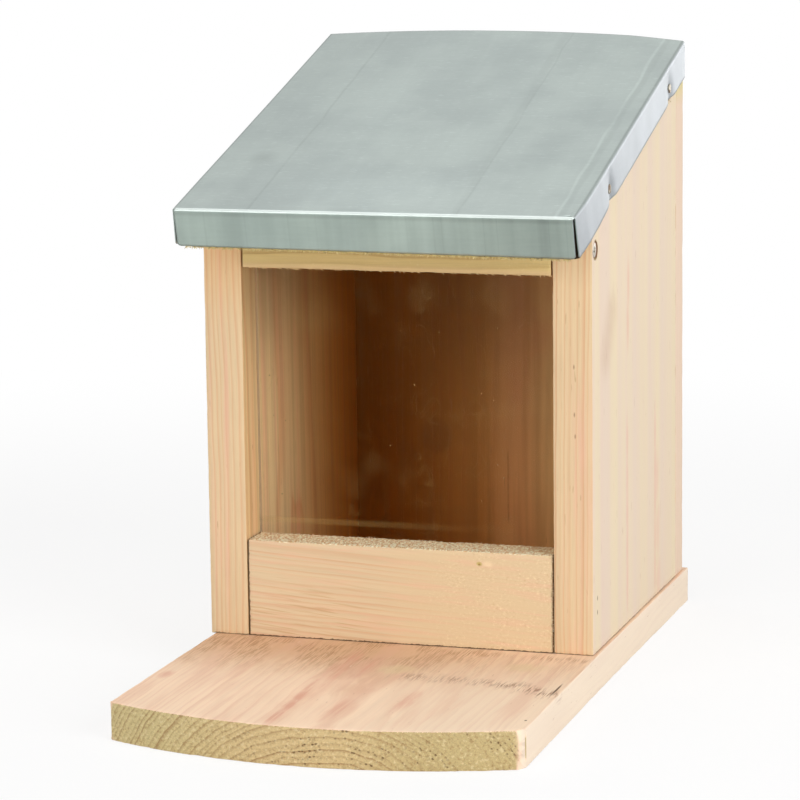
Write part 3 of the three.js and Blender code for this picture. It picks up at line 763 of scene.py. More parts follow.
def zinc_finish():
    """Zinc-coated sheet: cool grey-green, faintly mottled, with creases along the slope"""
    zinc = Finish("zinc_sheet")
    flat = zinc.sloped(zinc.place - lid_origin / mm)
    x, y, z = zinc.parts(flat)
    looks = zinc.looks_along(sloping=True)
    front = (-looks[1]).rise(0.55, 0.85)
    side = looks[0].size().rise(0.55, 0.85)
    top = 1 - front.larger(side)
    mottle = zinc.noise(flat / 34, 3, 0.55)
    fine = zinc.noise(flat / 1.6, 3, 0.6)
    rolled = zinc.noise((x / 13, y / 1.1, z / 1.1), 3, 0.6)
    dashes = zinc.noise((x / 3.2, y / 0.6, z / 9), 1).rise(0.64, 0.74)
    lengthwise = zinc.noise((x / 7, y / 160, z / 30), 3, 0.6)
    painted_sheen = zinc.vector(x / 55, (y + 8) / 30, 0).length().rise(1, 0)
    grime = zinc.vector((x + 58) / 9, (y - 22) / 9, 0).length().rise(1, 0)
    zinc.colour = zinc.blend(mottle.rise(0.35, 0.65), paint(164, 174, 171), paint(173, 183, 179))
    zinc.lighten(1 + (lengthwise - 0.5) * 0.1 + (rolled - 0.5) * 0.1 + (fine - 0.5) * 0.06)
    # Light dashes, darker towards the left, a painted sheen near the front middle of the top, and grime
    for amount in (dashes * 0.14, x.rise(-20, -70) * -0.07, painted_sheen * 0.1, grime * -0.14):
        zinc.lighten(1 + amount * top)
    height = fine * 0.2 + rolled * 0.2
    # Creases along the slope: where each starts, its drift, its width and how strong it is
    for foot, drift, width, strength in ((-47.4, -0.009, 0.5, 0.7), (30.5, -0.031, 1.6, 0.35),
                                         (31.5, -0.02, 0.4, 0.5), (68.0, -0.012, 0.6, -0.8),
                                         (69.8, -0.012, 1.2, 0.5)):
        # Painted shade along each crease, and painted light along one whose strength is below 0
        wander = (zinc.line_noise(y / 30 + foot) - 0.5) * 1.6
        line = (x - foot - y * drift + wander).size().rise(width * 1.6, width * 0.4)
        worn = zinc.noise((x / 9, y / 12, foot)).rise(0.3, 0.5) * 0.7 + 0.3
        zinc.lighten(1 - line * worn * top * (0.13 * strength))
        height = height + line * strength
    # The front flange and the side flanges, each painted in its own light and shade
    bands = (zinc.line_noise(x / 9 + 5.5, 3) - 0.5) * 0.4
    hair = zinc.line_noise(x / 1.7).rise(0.7, 0.76)
    shade_under_fold = z.rise(11.6, 13.4) * z.rise(15.2, 13.8)
    # Painted shade: darker towards the right and under the fold; the bands and hair lines are real
    apron = 1.11 + bands - x.rise(8, 62) * 0.24 - hair * 0.05 - shade_under_fold * 0.16
    zinc.bring(front, zinc.shade(zinc.colour, apron))
    zinc.tint(front * 0.5, paint(242, 255, 244))
    # Painted light: the side flanges lighter and bluer than the top, in random patches
    patches = zinc.noise((z / 30, y / 16, 0.5))
    zinc.bring(side, zinc.shade(zinc.colour, 1.04 + (patches - 0.5) * 0.4))
    zinc.tint(side, paint(252, 245, 255))
    # A painted highlight on the front fold, and painted shade by the side folds, which follow the taper
    painted_fold_highlight = z.rise(14.0, 14.3) * y.rise(roof_front_mm + 1.1, roof_front_mm + 0.8)
    zinc.bring(painted_fold_highlight * (1 - side) * 0.5, paint(218, 224, 221))
    left_taper, right_taper = (taper / mm for taper in rear_taper)
    taper = x.rise(-1, 1) * (right_taper - left_taper) + left_taper
    from_fold = roof_half_mm - x.size() - y.larger(0) * taper * (mm / plumb_end(sheet_top))
    zinc.lighten(1 - from_fold.rise(1.6, 1.1) * (1 - side) * (1 - front) * 0.25)
    zinc.set(Base_Color=zinc.colour, Roughness=0.45 + (mottle - 0.5) * 0.16, Metallic=0.75)
    zinc.bump(height, 0.05 * mm, 0.5)
    return zinc


def steel_finish(name, clean, dirty, share, rims=None):
    """Plated steel: fine scratches, dirt or rust over a share of it, and a brown rim round the
    heads of screws that are driven along X where the named one is"""
    steel = Finish(name)
    fine = steel.noise(steel.place / 0.6, 3)
    dirt = steel.noise(steel.place / 2.6, 3).rise(0.66 - share * 0.3, 0.8 - share * 0.3)
    steel.colour = steel.blend(dirt * (0.4 + share * 0.5), clean, dirty)
    if rims:
        x, y, z = steel.parts(steel.place)
        middle = head_of(rims) / mm
        # Painted shade: a brown rim round the head, and dark brown in its recess below the face
        from_axis = steel.vector(0, y - middle.y, z - middle.z).length()
        steel.bring(from_axis.rise(2.2, 2.9) * 0.9, bruise_brown)
        deep = (abs(middle.x) - x.size()).rise(0.15, 0.6)
        steel.bring(deep * 0.85, gap_brown)
    steel.set(Base_Color=steel.colour, Roughness=0.3 + fine * 0.2 + dirt * 0.2, Metallic=0.85)
    steel.bump(fine, 0.03 * mm, 0.4)
    return steel


def pane_finish():
    """Clear plastic with dust specks, a few curled hair scratches, smudges and a painted reflection"""
    clear = Finish("clear_plastic")
    place = clear.place
    x, y, z = clear.parts(place)
    speck = clear.cells(place / 8).rise(0.04, 0.022)
    wave = clear.noise(place / 26)
    kept = clear.noise(place / 17 + 8.5, 1).rise(0.52, 0.58)
    hair = (wave - 0.5).size().rise(0.006, 0.002) * kept
    wiped = clear.noise((x / 40, y, z / 3)).rise(0.56, 0.8)
    smudge = clear.noise(place / 20 + 2.5, 3).rise(0.52, 0.7)
    # A painted reflection of the front board's top, in a band low on the pane
    painted_reflection = z.rise(54.6, 55.2) * z.rise(57.6, 56.6) * x.rise(40, -30)
    body = speck * 0.4 + hair * 0.03 + smudge * 0.018 + wiped * 0.006 + painted_reflection * 0.05
    gloss = clear.node("Fresnel", None, {"IOR": 1.45}) * 0.05
    clear.set(Base_Color=paint(226, 190, 112), Roughness=0.1 + smudge * 0.2)
    clear.show(body + gloss, clear.node("BsdfTransparent"), clear.own_shader())
    return clear


def mesh_of(name, bm):
    """A mesh made of a bmesh, which is freed"""
    mesh = bpy.data.meshes.new(name)
    bm.to_mesh(mesh)
    bm.free()
    return mesh


def object_of(name, data):
    """A new object in the scene"""
    made = bpy.data.objects.new(name, data)
    bpy.context.scene.collection.objects.link(made)
    return made


def moved(bm, matrix):
    """Moves or turns a whole shape, and gives it back"""
    bmesh.ops.transform(bm, matrix=matrix, verts=bm.verts)
    return bm


def add(bm, other):
    """Puts another closed shape in the same mesh"""
    mesh = mesh_of("for_a_moment", other)
    bm.from_mesh(mesh)
    bpy.data.meshes.remove(mesh)


def combined(bm, other, operation="DIFFERENCE"):
    """One closed shape cut by another, or joined to it"""
    body, tool = (object_of("for_a_moment", mesh_of("for_a_moment", shape)) for shape in (bm, other))
    modifier = body.modifiers.new("combined", "BOOLEAN")
    modifier.operation = operation
    modifier.solver = "EXACT"
    modifier.object = tool
    result = bmesh.new()
    result.from_object(body, bpy.context.evaluated_depsgraph_get())
    for thing in (body, tool):
        mesh = thing.data
        bpy.data.objects.remove(thing)
        bpy.data.meshes.remove(mesh)
    return result


def piece(name, bm, finish, body, replaced, sharp=shading_sharp):
    """A finished piece from a bmesh, riding on its body in place of its CAD node"""
    mesh = mesh_of(name, bm)
    mesh.materials.append(finish.material)
    mesh.shade_smooth()
    mesh.set_sharp_from_angle(angle=math.radians(sharp))
    made = object_of(name, mesh)
    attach(made, body)
    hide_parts(replaced)
    return made


def block(low, high):
    """A plain block between two corners"""
    bm = bmesh.new()
    bmesh.ops.create_cube(bm, size=1)
    bmesh.ops.scale(bm, vec=high - low, verts=bm.verts)
    bmesh.ops.translate(bm, vec=(low + high) / 2, verts=bm.verts)
    return bm


def stock(low, high, steps):
    """A board between two corners, with its faces divided at about these steps in mm"""
    bm = block(low, high)
    for axis, step in enumerate(Vector(steps) * mm):
        cuts = max(1, round((high[axis] - low[axis]) / step)) - 1
        if cuts:
            runs = [e for e in bm.edges if abs((e.verts[1].co - e.verts[0].co)[axis]) > step / 2]
            bmesh.ops.subdivide_edges(bm, edges=runs, cuts=cuts, use_grid_fill=True)
    return bm


def bevelled(bm, angle, width, segments=2):
    """Bevels the edges that are sharper than an angle in degrees, and gives the new faces"""
    sharp = [e for e in bm.edges if e.calc_face_angle(0) > math.radians(angle)]
    return bmesh.ops.bevel(bm, geom=sharp, offset=width, segments=segments, profile=0.5,
                           affect="EDGES", material=-1)["faces"]


def ease(bm, bite, seed):
    """Takes the sharp arrises off a board and leaves them a little ragged"""
    made = bevelled(bm, wood_sharp, arris_width)
    bm.normal_update()
    rim = {v for face in made for v in face.verts}
    shift = Vector((seed, seed * 2, -seed))
    for v in sorted(rim, key=lambda v: v.index):
        place = v.co / mm
        broad, fine = (place / span for span in wear_spans)
        worn = noise.noise(broad + shift) + fine_wear_share * noise.noise(fine - shift)
        v.co -= v.normal * (bite * max(0, worn + even_wear))


def roughen(bm, facing, amount, grain, seed):
    """Lifts and lowers the faces that look one way, as a coarse saw leaves them"""
    bm.normal_update()
    shift = Vector((seed, -seed, seed))
    for v in bm.verts:
        share = v.normal.dot(facing)
        if share > roughened_from:
            place = Vector([c / g for c, g in zip(v.co / mm, grain)]) + shift
            v.co += facing * (amount * share * noise.noise(place))


def cut_board(node, steps, bite, seed, to_slope=False):
    """A board between its CAD node's corners, eased, with its top cut to the slope if asked"""
    low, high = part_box(node)
    bm = stock(low, high, steps)
    if to_slope:
        for v in bm.verts:
            share = (v.co.z - low.z) / (high.z - low.z)
            top = front_top + (v.co.y - side_low.y) * math.tan(slope)
            v.co.z = low.z + share * (top - low.z)
    ease(bm, bite, seed)
    return bm, low, high


def splinters(bm, places, length, lean, seed):
    """Thin torn fibres, each a slim closed spike in the wood"""
    rng = random.Random(seed)
    for first in range(0, len(places), splinter_batch):
        few = bmesh.new()
        for place in places[first:first + splinter_batch]:
            reach = length * rng.uniform(splinter_least, 1)
            stray = Vector([rng.uniform(-splinter_stray, splinter_stray) for _ in range(3)])
            way = (lean + stray).normalized()
            turn = UP.rotation_difference(way).to_matrix().to_4x4()
            at = Matrix.Translation(place + way * reach * splinter_lift) @ turn
            width = rng.uniform(*splinter_width)
            bmesh.ops.create_cone(few, cap_ends=True, segments=4, radius1=width,
                                  radius2=width * splinter_tip, depth=reach, matrix=at)
        add(bm, few)


def fray(bm, start, end, count, length, lean, seed, spread=(0, 0, 0)):
    """Torn fibres at random along an edge, or over the strip beside it"""
    rng = random.Random(seed)
    places = [start.lerp(end, rng.random()) + Vector(spread) * rng.random() for _ in range(count)]
    splinters(bm, places, length, lean, seed)


def turned_shape(profile):
    """Turned about Z from (radius, height) points, which start and end on the axis"""
    bm = bmesh.new()
    points = [bm.verts.new((radius, 0, height)) for radius, height in profile]
    edges = [bm.edges.new(pair) for pair in zip(points, points[1:])]
    bmesh.ops.spin(bm, geom=points + edges, cent=(0, 0, 0), axis=(0, 0, 1),
                   angle=2 * math.pi, steps=round_sides, use_merge=True)
    bmesh.ops.remove_doubles(bm, verts=bm.verts, dist=merge_distance)
    bmesh.ops.recalc_face_normals(bm, faces=bm.faces)
    return bm


def driven(bm, head, into):
    """Puts a shape that points down at its head's centre, driven in a direction"""
    turn = (-UP).rotation_difference(into).to_matrix().to_4x4()
    return moved(bm, Matrix.Translation(head) @ turn)


def sinks_for(*starts, kind=wood_screw):
    """The cones that the heads of all fasteners with these names have cut in what they hold"""
    sinks = bmesh.new()
    wide = kind["head"] + sink_clearance
    hole = kind["shank"] + sink_clearance
    profile = [(0, sink_above), (wide, sink_above), (wide, -kind["rim"]),
               (hole, -kind["head_height"] - sink_clearance), (hole, -sink_depth), (0, -sink_depth)]
    for name in fasteners(*starts):
        add(sinks, driven(turned_shape(profile), head_of(name), way_in(name)))
    return sinks


def flat_outline(points, thickness):
    """A flat plate from its outline's points, half its thickness to either side"""
    bm = bmesh.new()
    face = bm.faces.new([bm.verts.new((x, y, -thickness / 2)) for x, y in points])
    raised = bmesh.ops.extrude_face_region(bm, geom=[face])
    top = [item for item in raised["geom"] if isinstance(item, bmesh.types.BMVert)]
    bmesh.ops.translate(bm, vec=(0, 0, thickness), verts=top)
    bmesh.ops.recalc_face_normals(bm, faces=bm.faces)
    return bm


def arc(centre, radius, start, end, steps):
    """Points of an arc, its angles in degrees"""
    turns = [math.radians(start + (end - start) * step / steps) for step in range(steps + 1)]
    return [(centre[0] + radius * math.cos(t), centre[1] + radius * math.sin(t)) for t in turns]


def slot_shape(radius, length, thickness):
    """A slot with round ends, standing upright"""
    upper = arc((0, length / 2), radius, 0, 180, half_round_steps)
    lower = arc((0, -length / 2), radius, 180, 360, half_round_steps)
    return flat_outline(upper + lower, thickness)


def make_base():
    """The base board, with its arched front edge and its frayed arris. Its columns would be evenly
    spread at a base_even_share of 1, and stand closer towards its sides below that."""
    low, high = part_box("base_board")
    half, middle = (high.x - low.x) / 2, (high.x + low.x) / 2
    bend = (half ** 2 + base_arc_rise ** 2) / (2 * base_arc_rise)
    flat_until = low.y + base_arc_reach
    bm = stock(low, high, steps=(1.4, 3, 2))
    for v in bm.verts:
        share = (v.co.x - middle) / half
        x = half * (base_even_share * share + (1 - base_even_share) * math.sin(share * math.pi / 2))
        back = bend - math.sqrt(bend ** 2 - x ** 2)
        corner, flare = base_corners[x > 0], base_flare[x > 0]
        past = max(0.0, abs(x) - (half - corner))
        back += corner - math.sqrt(max(0.0, corner ** 2 - past ** 2))
        if v.co.y < flat_until:
            v.co.y += back * (flat_until - v.co.y) / base_arc_reach
        forward = max(0, -v.co.y / (high.y - low.y) * 2)
        v.co.x = middle + x * (1 + flare / half * forward)
    ease(bm, bite=0.22 * mm, seed=11)
    roughen(bm, FORWARD, amount=0.16 * mm, grain=(0.9, 3, 0.9), seed=12)
    board = combined(bm, sinks_for("base_screw", "front_board_screw", "back_board_screw"))
    arris = [v.co.copy() for v in board.verts
             if v.co.z > high.z - frayed_height and v.normal.dot(FORWARD) > frayed_from
             and v.co.y < low.y + frayed_reach]
    frayed = random.Random(13).choices(arris, k=220)
    splinters(board, frayed, length=0.8 * mm, lean=Vector((0, -0.5, 0.6)), seed=14)
    piece("planed_base_board", board, base_pine(), "box", "base_board")


def make_side(side_name, out, grain_seed, wear_seed):
    """One side board, with a groove for the pane; out is as side_pine says"""
    node = side_name + "_side"
    bm, low, high = cut_board(node, (3, 3, 2.5), bite=0.16 * mm, seed=wear_seed, to_slope=True)
    inner = low.x if out > 0 else high.x
    groove = block(Vector((inner - groove_depth, pane_low.y - groove_clearance, low.z - groove_depth)),
                   Vector((inner + groove_depth, pane_high.y + groove_clearance, high.z + groove_depth)))
    bm = combined(combined(bm, groove), sinks_for("rail_screw_" + side_name))
    piece("planed_" + node, bm, side_pine(side_name, out, grain_seed), "box", node)


def make_back():
    """The back board, with a pocket behind the hanger's keyhole"""
    bm, _, high = cut_board("back_board", (3, 3, 3), bite=0.15 * mm, seed=31, to_slope=True)
    hanger_low, hanger_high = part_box("hanger_plate")
    centre = (hanger_low + hanger_high) / 2
    pocket = moved(slot_shape(pocket_radius, pocket_length, pocket_depth * 2),
                   Matrix.Translation((centre.x, high.y, centre.z)) @ facing_back)
    bm = combined(combined(bm, pocket), sinks_for("side_screw"))
    piece("planed_back_board", bm, back_pine(), "box", "back_board")


def make_front_board():
    """The front board, with a coarsely sawn top and a frayed right edge"""
    bm, low, high = cut_board("front_board", (0.8, 1.2, 2), bite=0.2 * mm, seed=41)
    roughen(bm, UP, amount=0.5 * mm, grain=(0.8, 1.1, 1), seed=42)
    start, end = Vector((low.x, low.y, high.z)), Vector((high.x, low.y, high.z))
    right_foot = Vector((high.x, low.y, low.z))
    fray(bm, start, end, count=900, length=0.9 * mm, lean=UP, seed=43,
         spread=(0, high.y - low.y, 0))
    fray(bm, right_foot, end, count=70, length=1.4 * mm, lean=Vector((-0.6, -1, 0)), seed=44)
    piece("sawn_front_board", bm, front_pine(), "box", "front_board")


def make_rail():
    """The top rail, with a tuft of torn fibres at its lower edge"""
    bm, low, high = cut_board("top_rail", (0.9, 2, 2), bite=0.2 * mm, seed=51)
    right_foot, torn = Vector((high.x, low.y, low.z)), low + RIGHT * torn_from_left
    fray(bm, low, right_foot, count=90, length=1.1 * mm, lean=Vector((1, -0.3, -0.8)), seed=52)
    fray(bm, torn - RIGHT * tuft_width, torn, count=9, length=3 * mm,
         lean=Vector((1.5, -0.2, -0.8)), seed=53)
    piece("sawn_top_rail", bm, rail_pine(), "box", "top_rail")


def pressed(along, off, past=0.0):
    """How far the sheet's side flange is pressed in at a place on it, by the nails"""
    total = 0.0
    for name in ("roof_nail_right_front", "roof_nail_right_rear"):
        along_nail, off_nail = nail_places[name]
        across = abs(along - along_nail) / (dent_reach + past)
        lower = (off - off_nail) / (sheet_top - off_nail)
        fade = dent_below_nail if lower < 0 else max(0, 1 - lower) ** dent_fade
        total += dent_depth * math.exp(-across ** dent_sharpness) * fade
    return total


def skewed(x):
    """How much shorter the lid is at its rear right corner"""
    return rear_skew * max(0, x - (half_roof - skew_reach)) / skew_reach


def bowed(along, share):
    """How far the sheet has bowed up at a share of the half width, towards the rear"""
    start = plumb_end(sheet_top) * bow_from_share
    ahead = max(0.0, (along - start) / (plumb_end(sheet_top) - start))
    return rear_bow * ahead ** 2 * (1 - share ** 2)


def make_lid_board():
    """The lid board, drawn in the lid's own frame and then turned to the slope"""
    edge = sheet_thickness + sheet_clearance
    half = half_roof - edge
    front = roof_front + edge
    rear = plumb_end(0)
    low = Vector((-half, front, lid_clearance))
    high = Vector((half, rear, lid_clearance + board_thickness))
    bm = stock(low, high, steps=(1.5, 1.5, 2.8))
    for v in bm.verts:
        end = plumb_end(v.co.z) - skewed(v.co.x)
        v.co.y = front + (v.co.y - front) * (end - front) / (rear - front)
        ahead = min(1, max(0, v.co.y / (front * sag_reach_share)))
        right_share = (v.co.x / half + 1) / 2
        sag = board_sag * (sag_left_share + (1 - sag_left_share) * right_share) * ahead
        height_share = (v.co.z - lid_clearance) / board_thickness
        v.co.z += board_bow_share * bowed(v.co.y, v.co.x / half) * height_share
        v.co.z -= sag * (1 - height_share)
        if abs(v.co.x) > half - board_face_margin:
            v.co.x -= math.copysign(pressed(v.co.y, v.co.z, board_dent_extra), v.co.x)
        v.co.x *= 1 - rear_taper[v.co.x > 0] / half * max(0, v.co.y / rear)
        v.co.y = max(v.co.y, front + abs(v.co.x) - (half - board_corner))
    ease(bm, bite=0.3 * mm, seed=61)
    roughen(bm, FORWARD, amount=0.3 * mm, grain=(0.9, 2, 0.9), seed=62)
    inner = half - board_corner
    left_foot = Vector((-inner, front, low.z - board_sag * sag_left_share))
    right_foot = Vector((inner, front, low.z - board_sag))
    fray(bm, left_foot, right_foot, count=620, length=1.3 * mm, lean=Vector((0, -0.3, -0.6)),
         seed=63)
    for side in (-1, 1):
        start, end = (Vector((side * (half - side_fray_inset), along, low.z))
                      for along in (front, rear - rear_skew))
        fray(bm, start, end, count=60, length=1 * mm, lean=Vector((side * 0.4, 0, -0.6)),
             seed=64 + side)
    piece("sawn_lid_board", moved(bm, lid_turn), lid_pine(), "lid", "roof_board")


def folded(reach, flat):
    """Where a sheet that is flat up to a place and then folds down lies, at a length along it:
    how far out, and how far down. The fold is a small bend, a narrow facet and a second bend."""
    past = reach - flat
    if past <= 0:
        return reach, 0.0
    half_bend = math.pi / 4 * fold_radius
    out, down, angle = flat, 0.0, 0.0
    for length, bends in ((half_bend, True), (fold_facet, False), (half_bend, True)):
        step = min(past, length)
        if bends:
            turn = step / fold_radius
            out += fold_radius * (math.sin(angle + turn) - math.sin(angle))
            down += fold_radius * (math.cos(angle) - math.cos(angle + turn))
            angle += turn
        else:
            out += step * math.cos(angle)
            down += step * math.sin(angle)
        past -= step
        if past <= 0:
            return out, down
    return out, down + past


fold_length = math.pi / 2 * fold_radius + fold_facet
fold_span = folded(fold_length, 0)[0]


def stations(places, steps):
    """Places along a line, with each stretch between two given ones divided at its own step"""
    found = [places[0]]
    for start, end, step in zip(places, places[1:], steps):
        count = max(1, round((end - start) / step))
        found += [start + (end - start) * number / count for number in range(1, count + 1)]
    return found


def sheet_grid(across, along):
    """The flat sheet as a grid, its lines at the given stations"""
    bm = bmesh.new()
    bmesh.ops.create_grid(bm, x_segments=len(across) - 1, y_segments=len(along) - 1, size=1)
    for v in bm.verts:
        column = round((v.co.x + 1) / 2 * (len(across) - 1))
        row = round((v.co.y + 1) / 2 * (len(along) - 1))
        v.co = (across[column], along[row], 0)
    return bm


def sheet_place(flat, flat_half, front_edge, rear):
    """Where a point of the flat sheet lies once it is folded and dented, in the lid's frame"""
    right = flat.x > 0
    out, side_down = folded(abs(flat.x), flat_half)
    forward, front_down = folded(-flat.y, -front_edge)
    along = -forward
    ragged = ragged_depth * noise.noise(Vector((flat.x, flat.y, 0)) / ragged_span)
    if front_down > fold_span:
        share = (front_down - fold_span) / (flange_depth - fold_span)
        clipped = max(0.0, flange_clip - (flat_half - abs(flat.x)))
        right_share = (flat.x / flat_half + 1) / 2
        depth = flange_depth + flange_extra[0] * (1 - right_share) + flange_extra[1] * right_share
        front_down = fold_span + share * (depth - fold_span - clipped + ragged)
    if front_down:
        reach = fold_span - front_corner_gap - (corner_pinch if right else 0)
        out += reach * min(1, front_down / fold_span) * abs(flat.x) / flat_half
    if side_down > fold_span:
        share = (side_down - fold_span) / (flange_depth - fold_span)
        from_front = along - (roof_front + fold_span)
        clipped = max(0.0, flange_clip - from_front) ** 2 / flange_clip
        ahead = min(1, max(0, (extra_from - along) / (extra_from - roof_front)))
        depth = flange_depth + flange_extra[right] * ahead
        side_down = fold_span + share * (depth - fold_span - clipped + ragged)
        out += flange_lean * share * (1 - max(0, along / rear))
    if side_down and right:
        out -= corner_pinch * max(0, 1 - (along - roof_front) / corner_reach)
    rise = 0.0 if side_down else bowed(along, out / flat_half)
    far = max(0.0, along / rear)
    out -= rear_taper[right] * far * min(1, out / flat_half)
    rise += rear_twist[right] * far ** 2 * out / flat_half
    off = sheet_top - side_down - front_down + rise
    x = math.copysign(out, flat.x)
    if along > 0:
        along = along * (plumb_end(off) - skewed(x)) / rear
    if side_down > fold_span * 0.5:
        x -= math.copysign(pressed(along, off), x)
    return Vector((x, along, off))


def make_sheet():
    """The zinc sheet: a flat grid without its front corners, folded, and given its thickness"""
    flat_half = half_roof - fold_span
    drop = fold_length + flange_depth - fold_span
    front_edge = roof_front + fold_span
    rear = plumb_end(sheet_top)
    to_right = [flat_half - side_strip, flat_half, flat_half + fold_length, flat_half + drop]
    across = stations(
        [-place for place in reversed(to_right)] + to_right,
        [flange_step, fold_step, flange_step, flat_step, flange_step, fold_step, flange_step])
    along = stations(
        [front_edge - drop, front_edge - fold_length, front_edge, front_edge + front_strip, rear],
        [flange_step, fold_step, flange_step, slope_step])
    bm = sheet_grid(across, along)
    centres = {face: face.calc_center_median() for face in bm.faces}
    corners = [f for f, centre in centres.items() if centre.y < front_edge and abs(centre.x) > flat_half]
    bmesh.ops.delete(bm, geom=corners, context="FACES")
    for v in bm.verts:
        v.co = sheet_place(v.co, flat_half, front_edge, rear)
    bmesh.ops.recalc_face_normals(bm, faces=bm.faces)
    if sum(f.normal.z for f in bm.faces) < 0:
        bmesh.ops.reverse_faces(bm, faces=bm.faces)
    sheet = piece("folded_roof_sheet", moved(bm, lid_turn), zinc_finish(), "lid",
                  "roof_sheet", sharp=sheet_shading_sharp)
    wall = sheet.modifiers.new("wall", "SOLIDIFY")
    wall.thickness = sheet_thickness
    wall.offset = -1
    wall.use_even_offset = True


def fastener_shape(kind, length):
    """A countersunk screw with a crossed recess, or a nail with a flat head"""
    head, shank, neck = kind["head"], kind["shank"], -kind["head_height"]
    bm = turned_shape([(0, 0), (head * head_flat_share, 0), (head, -kind["rim"] * head_round_share),
                       (head, -kind["rim"]), (shank * neck_share, neck),
                       (shank, neck - neck_height), (shank, kind["tip"] - length), (0, -length)])
    if "recess" not in kind:
        return bm
    reach, slot, deep = kind["recess"], kind["slot"], kind["recess_depth"]
    for turn in (0, math.pi / 2):
        blade = block(Vector((-reach, -slot, -deep)), Vector((reach, slot, recess_above)))
        for v in blade.verts:
            if v.co.z < 0:
                v.co.x *= recess_foot[0]
                v.co.y *= recess_foot[1]
        bm = combined(bm, moved(blade, Matrix.Rotation(turn + recess_turn, 4, "Z")))
    return bm


def make_fasteners(finish, nail_finish, rail_finish):
    """Every screw and nail, each in its CAD node's place; the nails are driven in to the sheet"""
    families = ((("rail_screw", "base_screw", "front_board_screw", "back_board_screw",
                  "side_screw"), wood_screw),
                (("hinge_screw", "hanger_screw"), small_screw),
                (("roof_nail",), roof_nail))
    for starts, kind in families:
        for name in fasteners(*starts):
            low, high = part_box(name)
            into, head = way_in(name), head_of(name)
            length = abs((high - low).dot(into))
            metal = rail_finish if name.startswith("rail_screw") else finish
            body = "lid" if "_lid_" in name else "box"
            if kind is roof_nail:
                metal, body = nail_finish, "lid"
                taper = rear_taper["right" in name] * nail_places[name][0] / plumb_end(sheet_top)
                deeper = max(0, taper - nail_seat)
                head += into * deeper
                length -= deeper
            bm = driven(fastener_shape(kind, length), head, into)
            piece("turned_" + name, bm, metal, body, name)


def tube(from_x, to_x, axis):
    """A knuckle: a tube along X"""
    ring_arc = (0, 360 - 360 / round_sides, round_sides - 1)
    outer = flat_outline(arc((0, 0), knuckle_radius, *ring_arc), to_x - from_x)
    bore = flat_outline(arc((0, 0), pin_radius + pin_clearance, *ring_arc), (to_x - from_x) * 2)
    bm = combined(outer, bore)
    bevelled(bm, metal_sharp, metal_edge, 1)
    place = Matrix.Translation(((from_x + to_x) / 2, axis.y, axis.z))
    return moved(bm, place @ Matrix.Rotation(math.pi / 2, 4, "Y"))


def leaf_outline(half, height):
    """A hinge leaf, flat, with its root along X and its free corners rounded"""
    right = arc((half - leaf_corner, height - leaf_corner), leaf_corner, 0, 90, corner_steps)
    return [(-half, 0), (half, 0)] + right + [(-x, y) for x, y in reversed(right)]


def make_leaf(node, axis, half, tip, way, spans, finish, body):
    """One leaf of a hinge, flat from its root to its tip, with its knuckles round the axis"""
    face = axis.y - knuckle_radius
    root = axis.z + way * (knuckle_radius + knuckle_gap)
    leaf = flat_outline(leaf_outline(half, abs(tip - root)), leaf_thickness)
    bevelled(leaf, metal_sharp, metal_edge)
    turn = facing_back if way > 0 else facing_back @ Matrix.Rotation(math.pi, 4, "Z")
    moved(leaf, Matrix.Translation((axis.x, face + leaf_thickness / 2, root)) @ turn)
    low_z, high_z = sorted((axis.z, root + way * leaf_corner))
    for from_x, to_x in spans:
        low = Vector((from_x + root_inset, face + root_inset, low_z))
        high = Vector((to_x - root_inset, face + leaf_thickness - root_inset, high_z))
        leaf = combined(leaf, block(low, high), "UNION")
        leaf = combined(leaf, tube(from_x, to_x, axis), "UNION")
    sinks = sinks_for(node.replace("hinge", "hinge_screw").replace("_leaf", ""), kind=small_screw)
    piece("pressed_" + node, combined(leaf, sinks), finish, body, node)


def make_hinge(side_name, finish):
    """A butt hinge: its box leaf has the two outer knuckles, its lid leaf the middle one"""
    hinge = "hinge_" + side_name
    low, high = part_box(hinge + "_box_leaf")
    lid_low, lid_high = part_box(hinge + "_lid_leaf")
    half, third, gap = (high.x - low.x) / 2, (high.x - low.x) / 3, knuckle_gap / 2
    axis = Vector((low.x + half, high.y - knuckle_radius, (high.z + lid_low.z) / 2))
    outer = [(low.x, low.x + third - gap), (low.x + 2 * third + gap, high.x)]
    inner = [(low.x + third + gap, low.x + 2 * third - gap)]
    make_leaf(hinge + "_box_leaf", axis, half, low.z, -1, outer, finish, "box")
    make_leaf(hinge + "_lid_leaf", axis, half, lid_high.z, 1, inner, finish, "lid")
    low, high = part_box(hinge + "_pin")
    end, head = (high.x - low.x) / 2, pin_head_height
    profile = [(0, end), (pin_head_radius * pin_flat_share, end - head * pin_round_shares[0]),
               (pin_head_radius, end - head * pin_round_shares[1]), (pin_head_radius, end - head),
               (pin_radius, end - head)]
    profile += [(radius, -height) for radius, height in reversed(profile)]
    pin = driven(turned_shape(profile), (low + high) / 2, RIGHT)
    piece(f"turned_{hinge}_pin", pin, finish, "box", hinge + "_pin")


def make_hanger(finish):
    """The hanger plate, with its keyhole and its two screws' countersinks"""
    low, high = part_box("hanger_plate")
    half = (high.x - low.x) / 2
    plate = slot_shape(half, (high.z - low.z) - 2 * half, high.y - low.y)
    bevelled(plate, metal_sharp, metal_edge * 2)
    join = math.degrees(math.asin(keyhole_slot / keyhole_radius))
    middle = pocket_length / 2
    points = arc((0, -middle), keyhole_radius, 90 + join, 450 - join, keyhole_steps[0])
    points += arc((0, middle), keyhole_slot, 0, 180, keyhole_steps[1])
    plate = combined(plate, flat_outline(points, keyhole_cutter))
    moved(plate, Matrix.Translation((low + high) / 2) @ facing_back)
    plate = combined(plate, sinks_for("hanger_screw", kind=small_screw))
    piece("pressed_hanger_plate", plate, finish, "box", "hanger_plate")


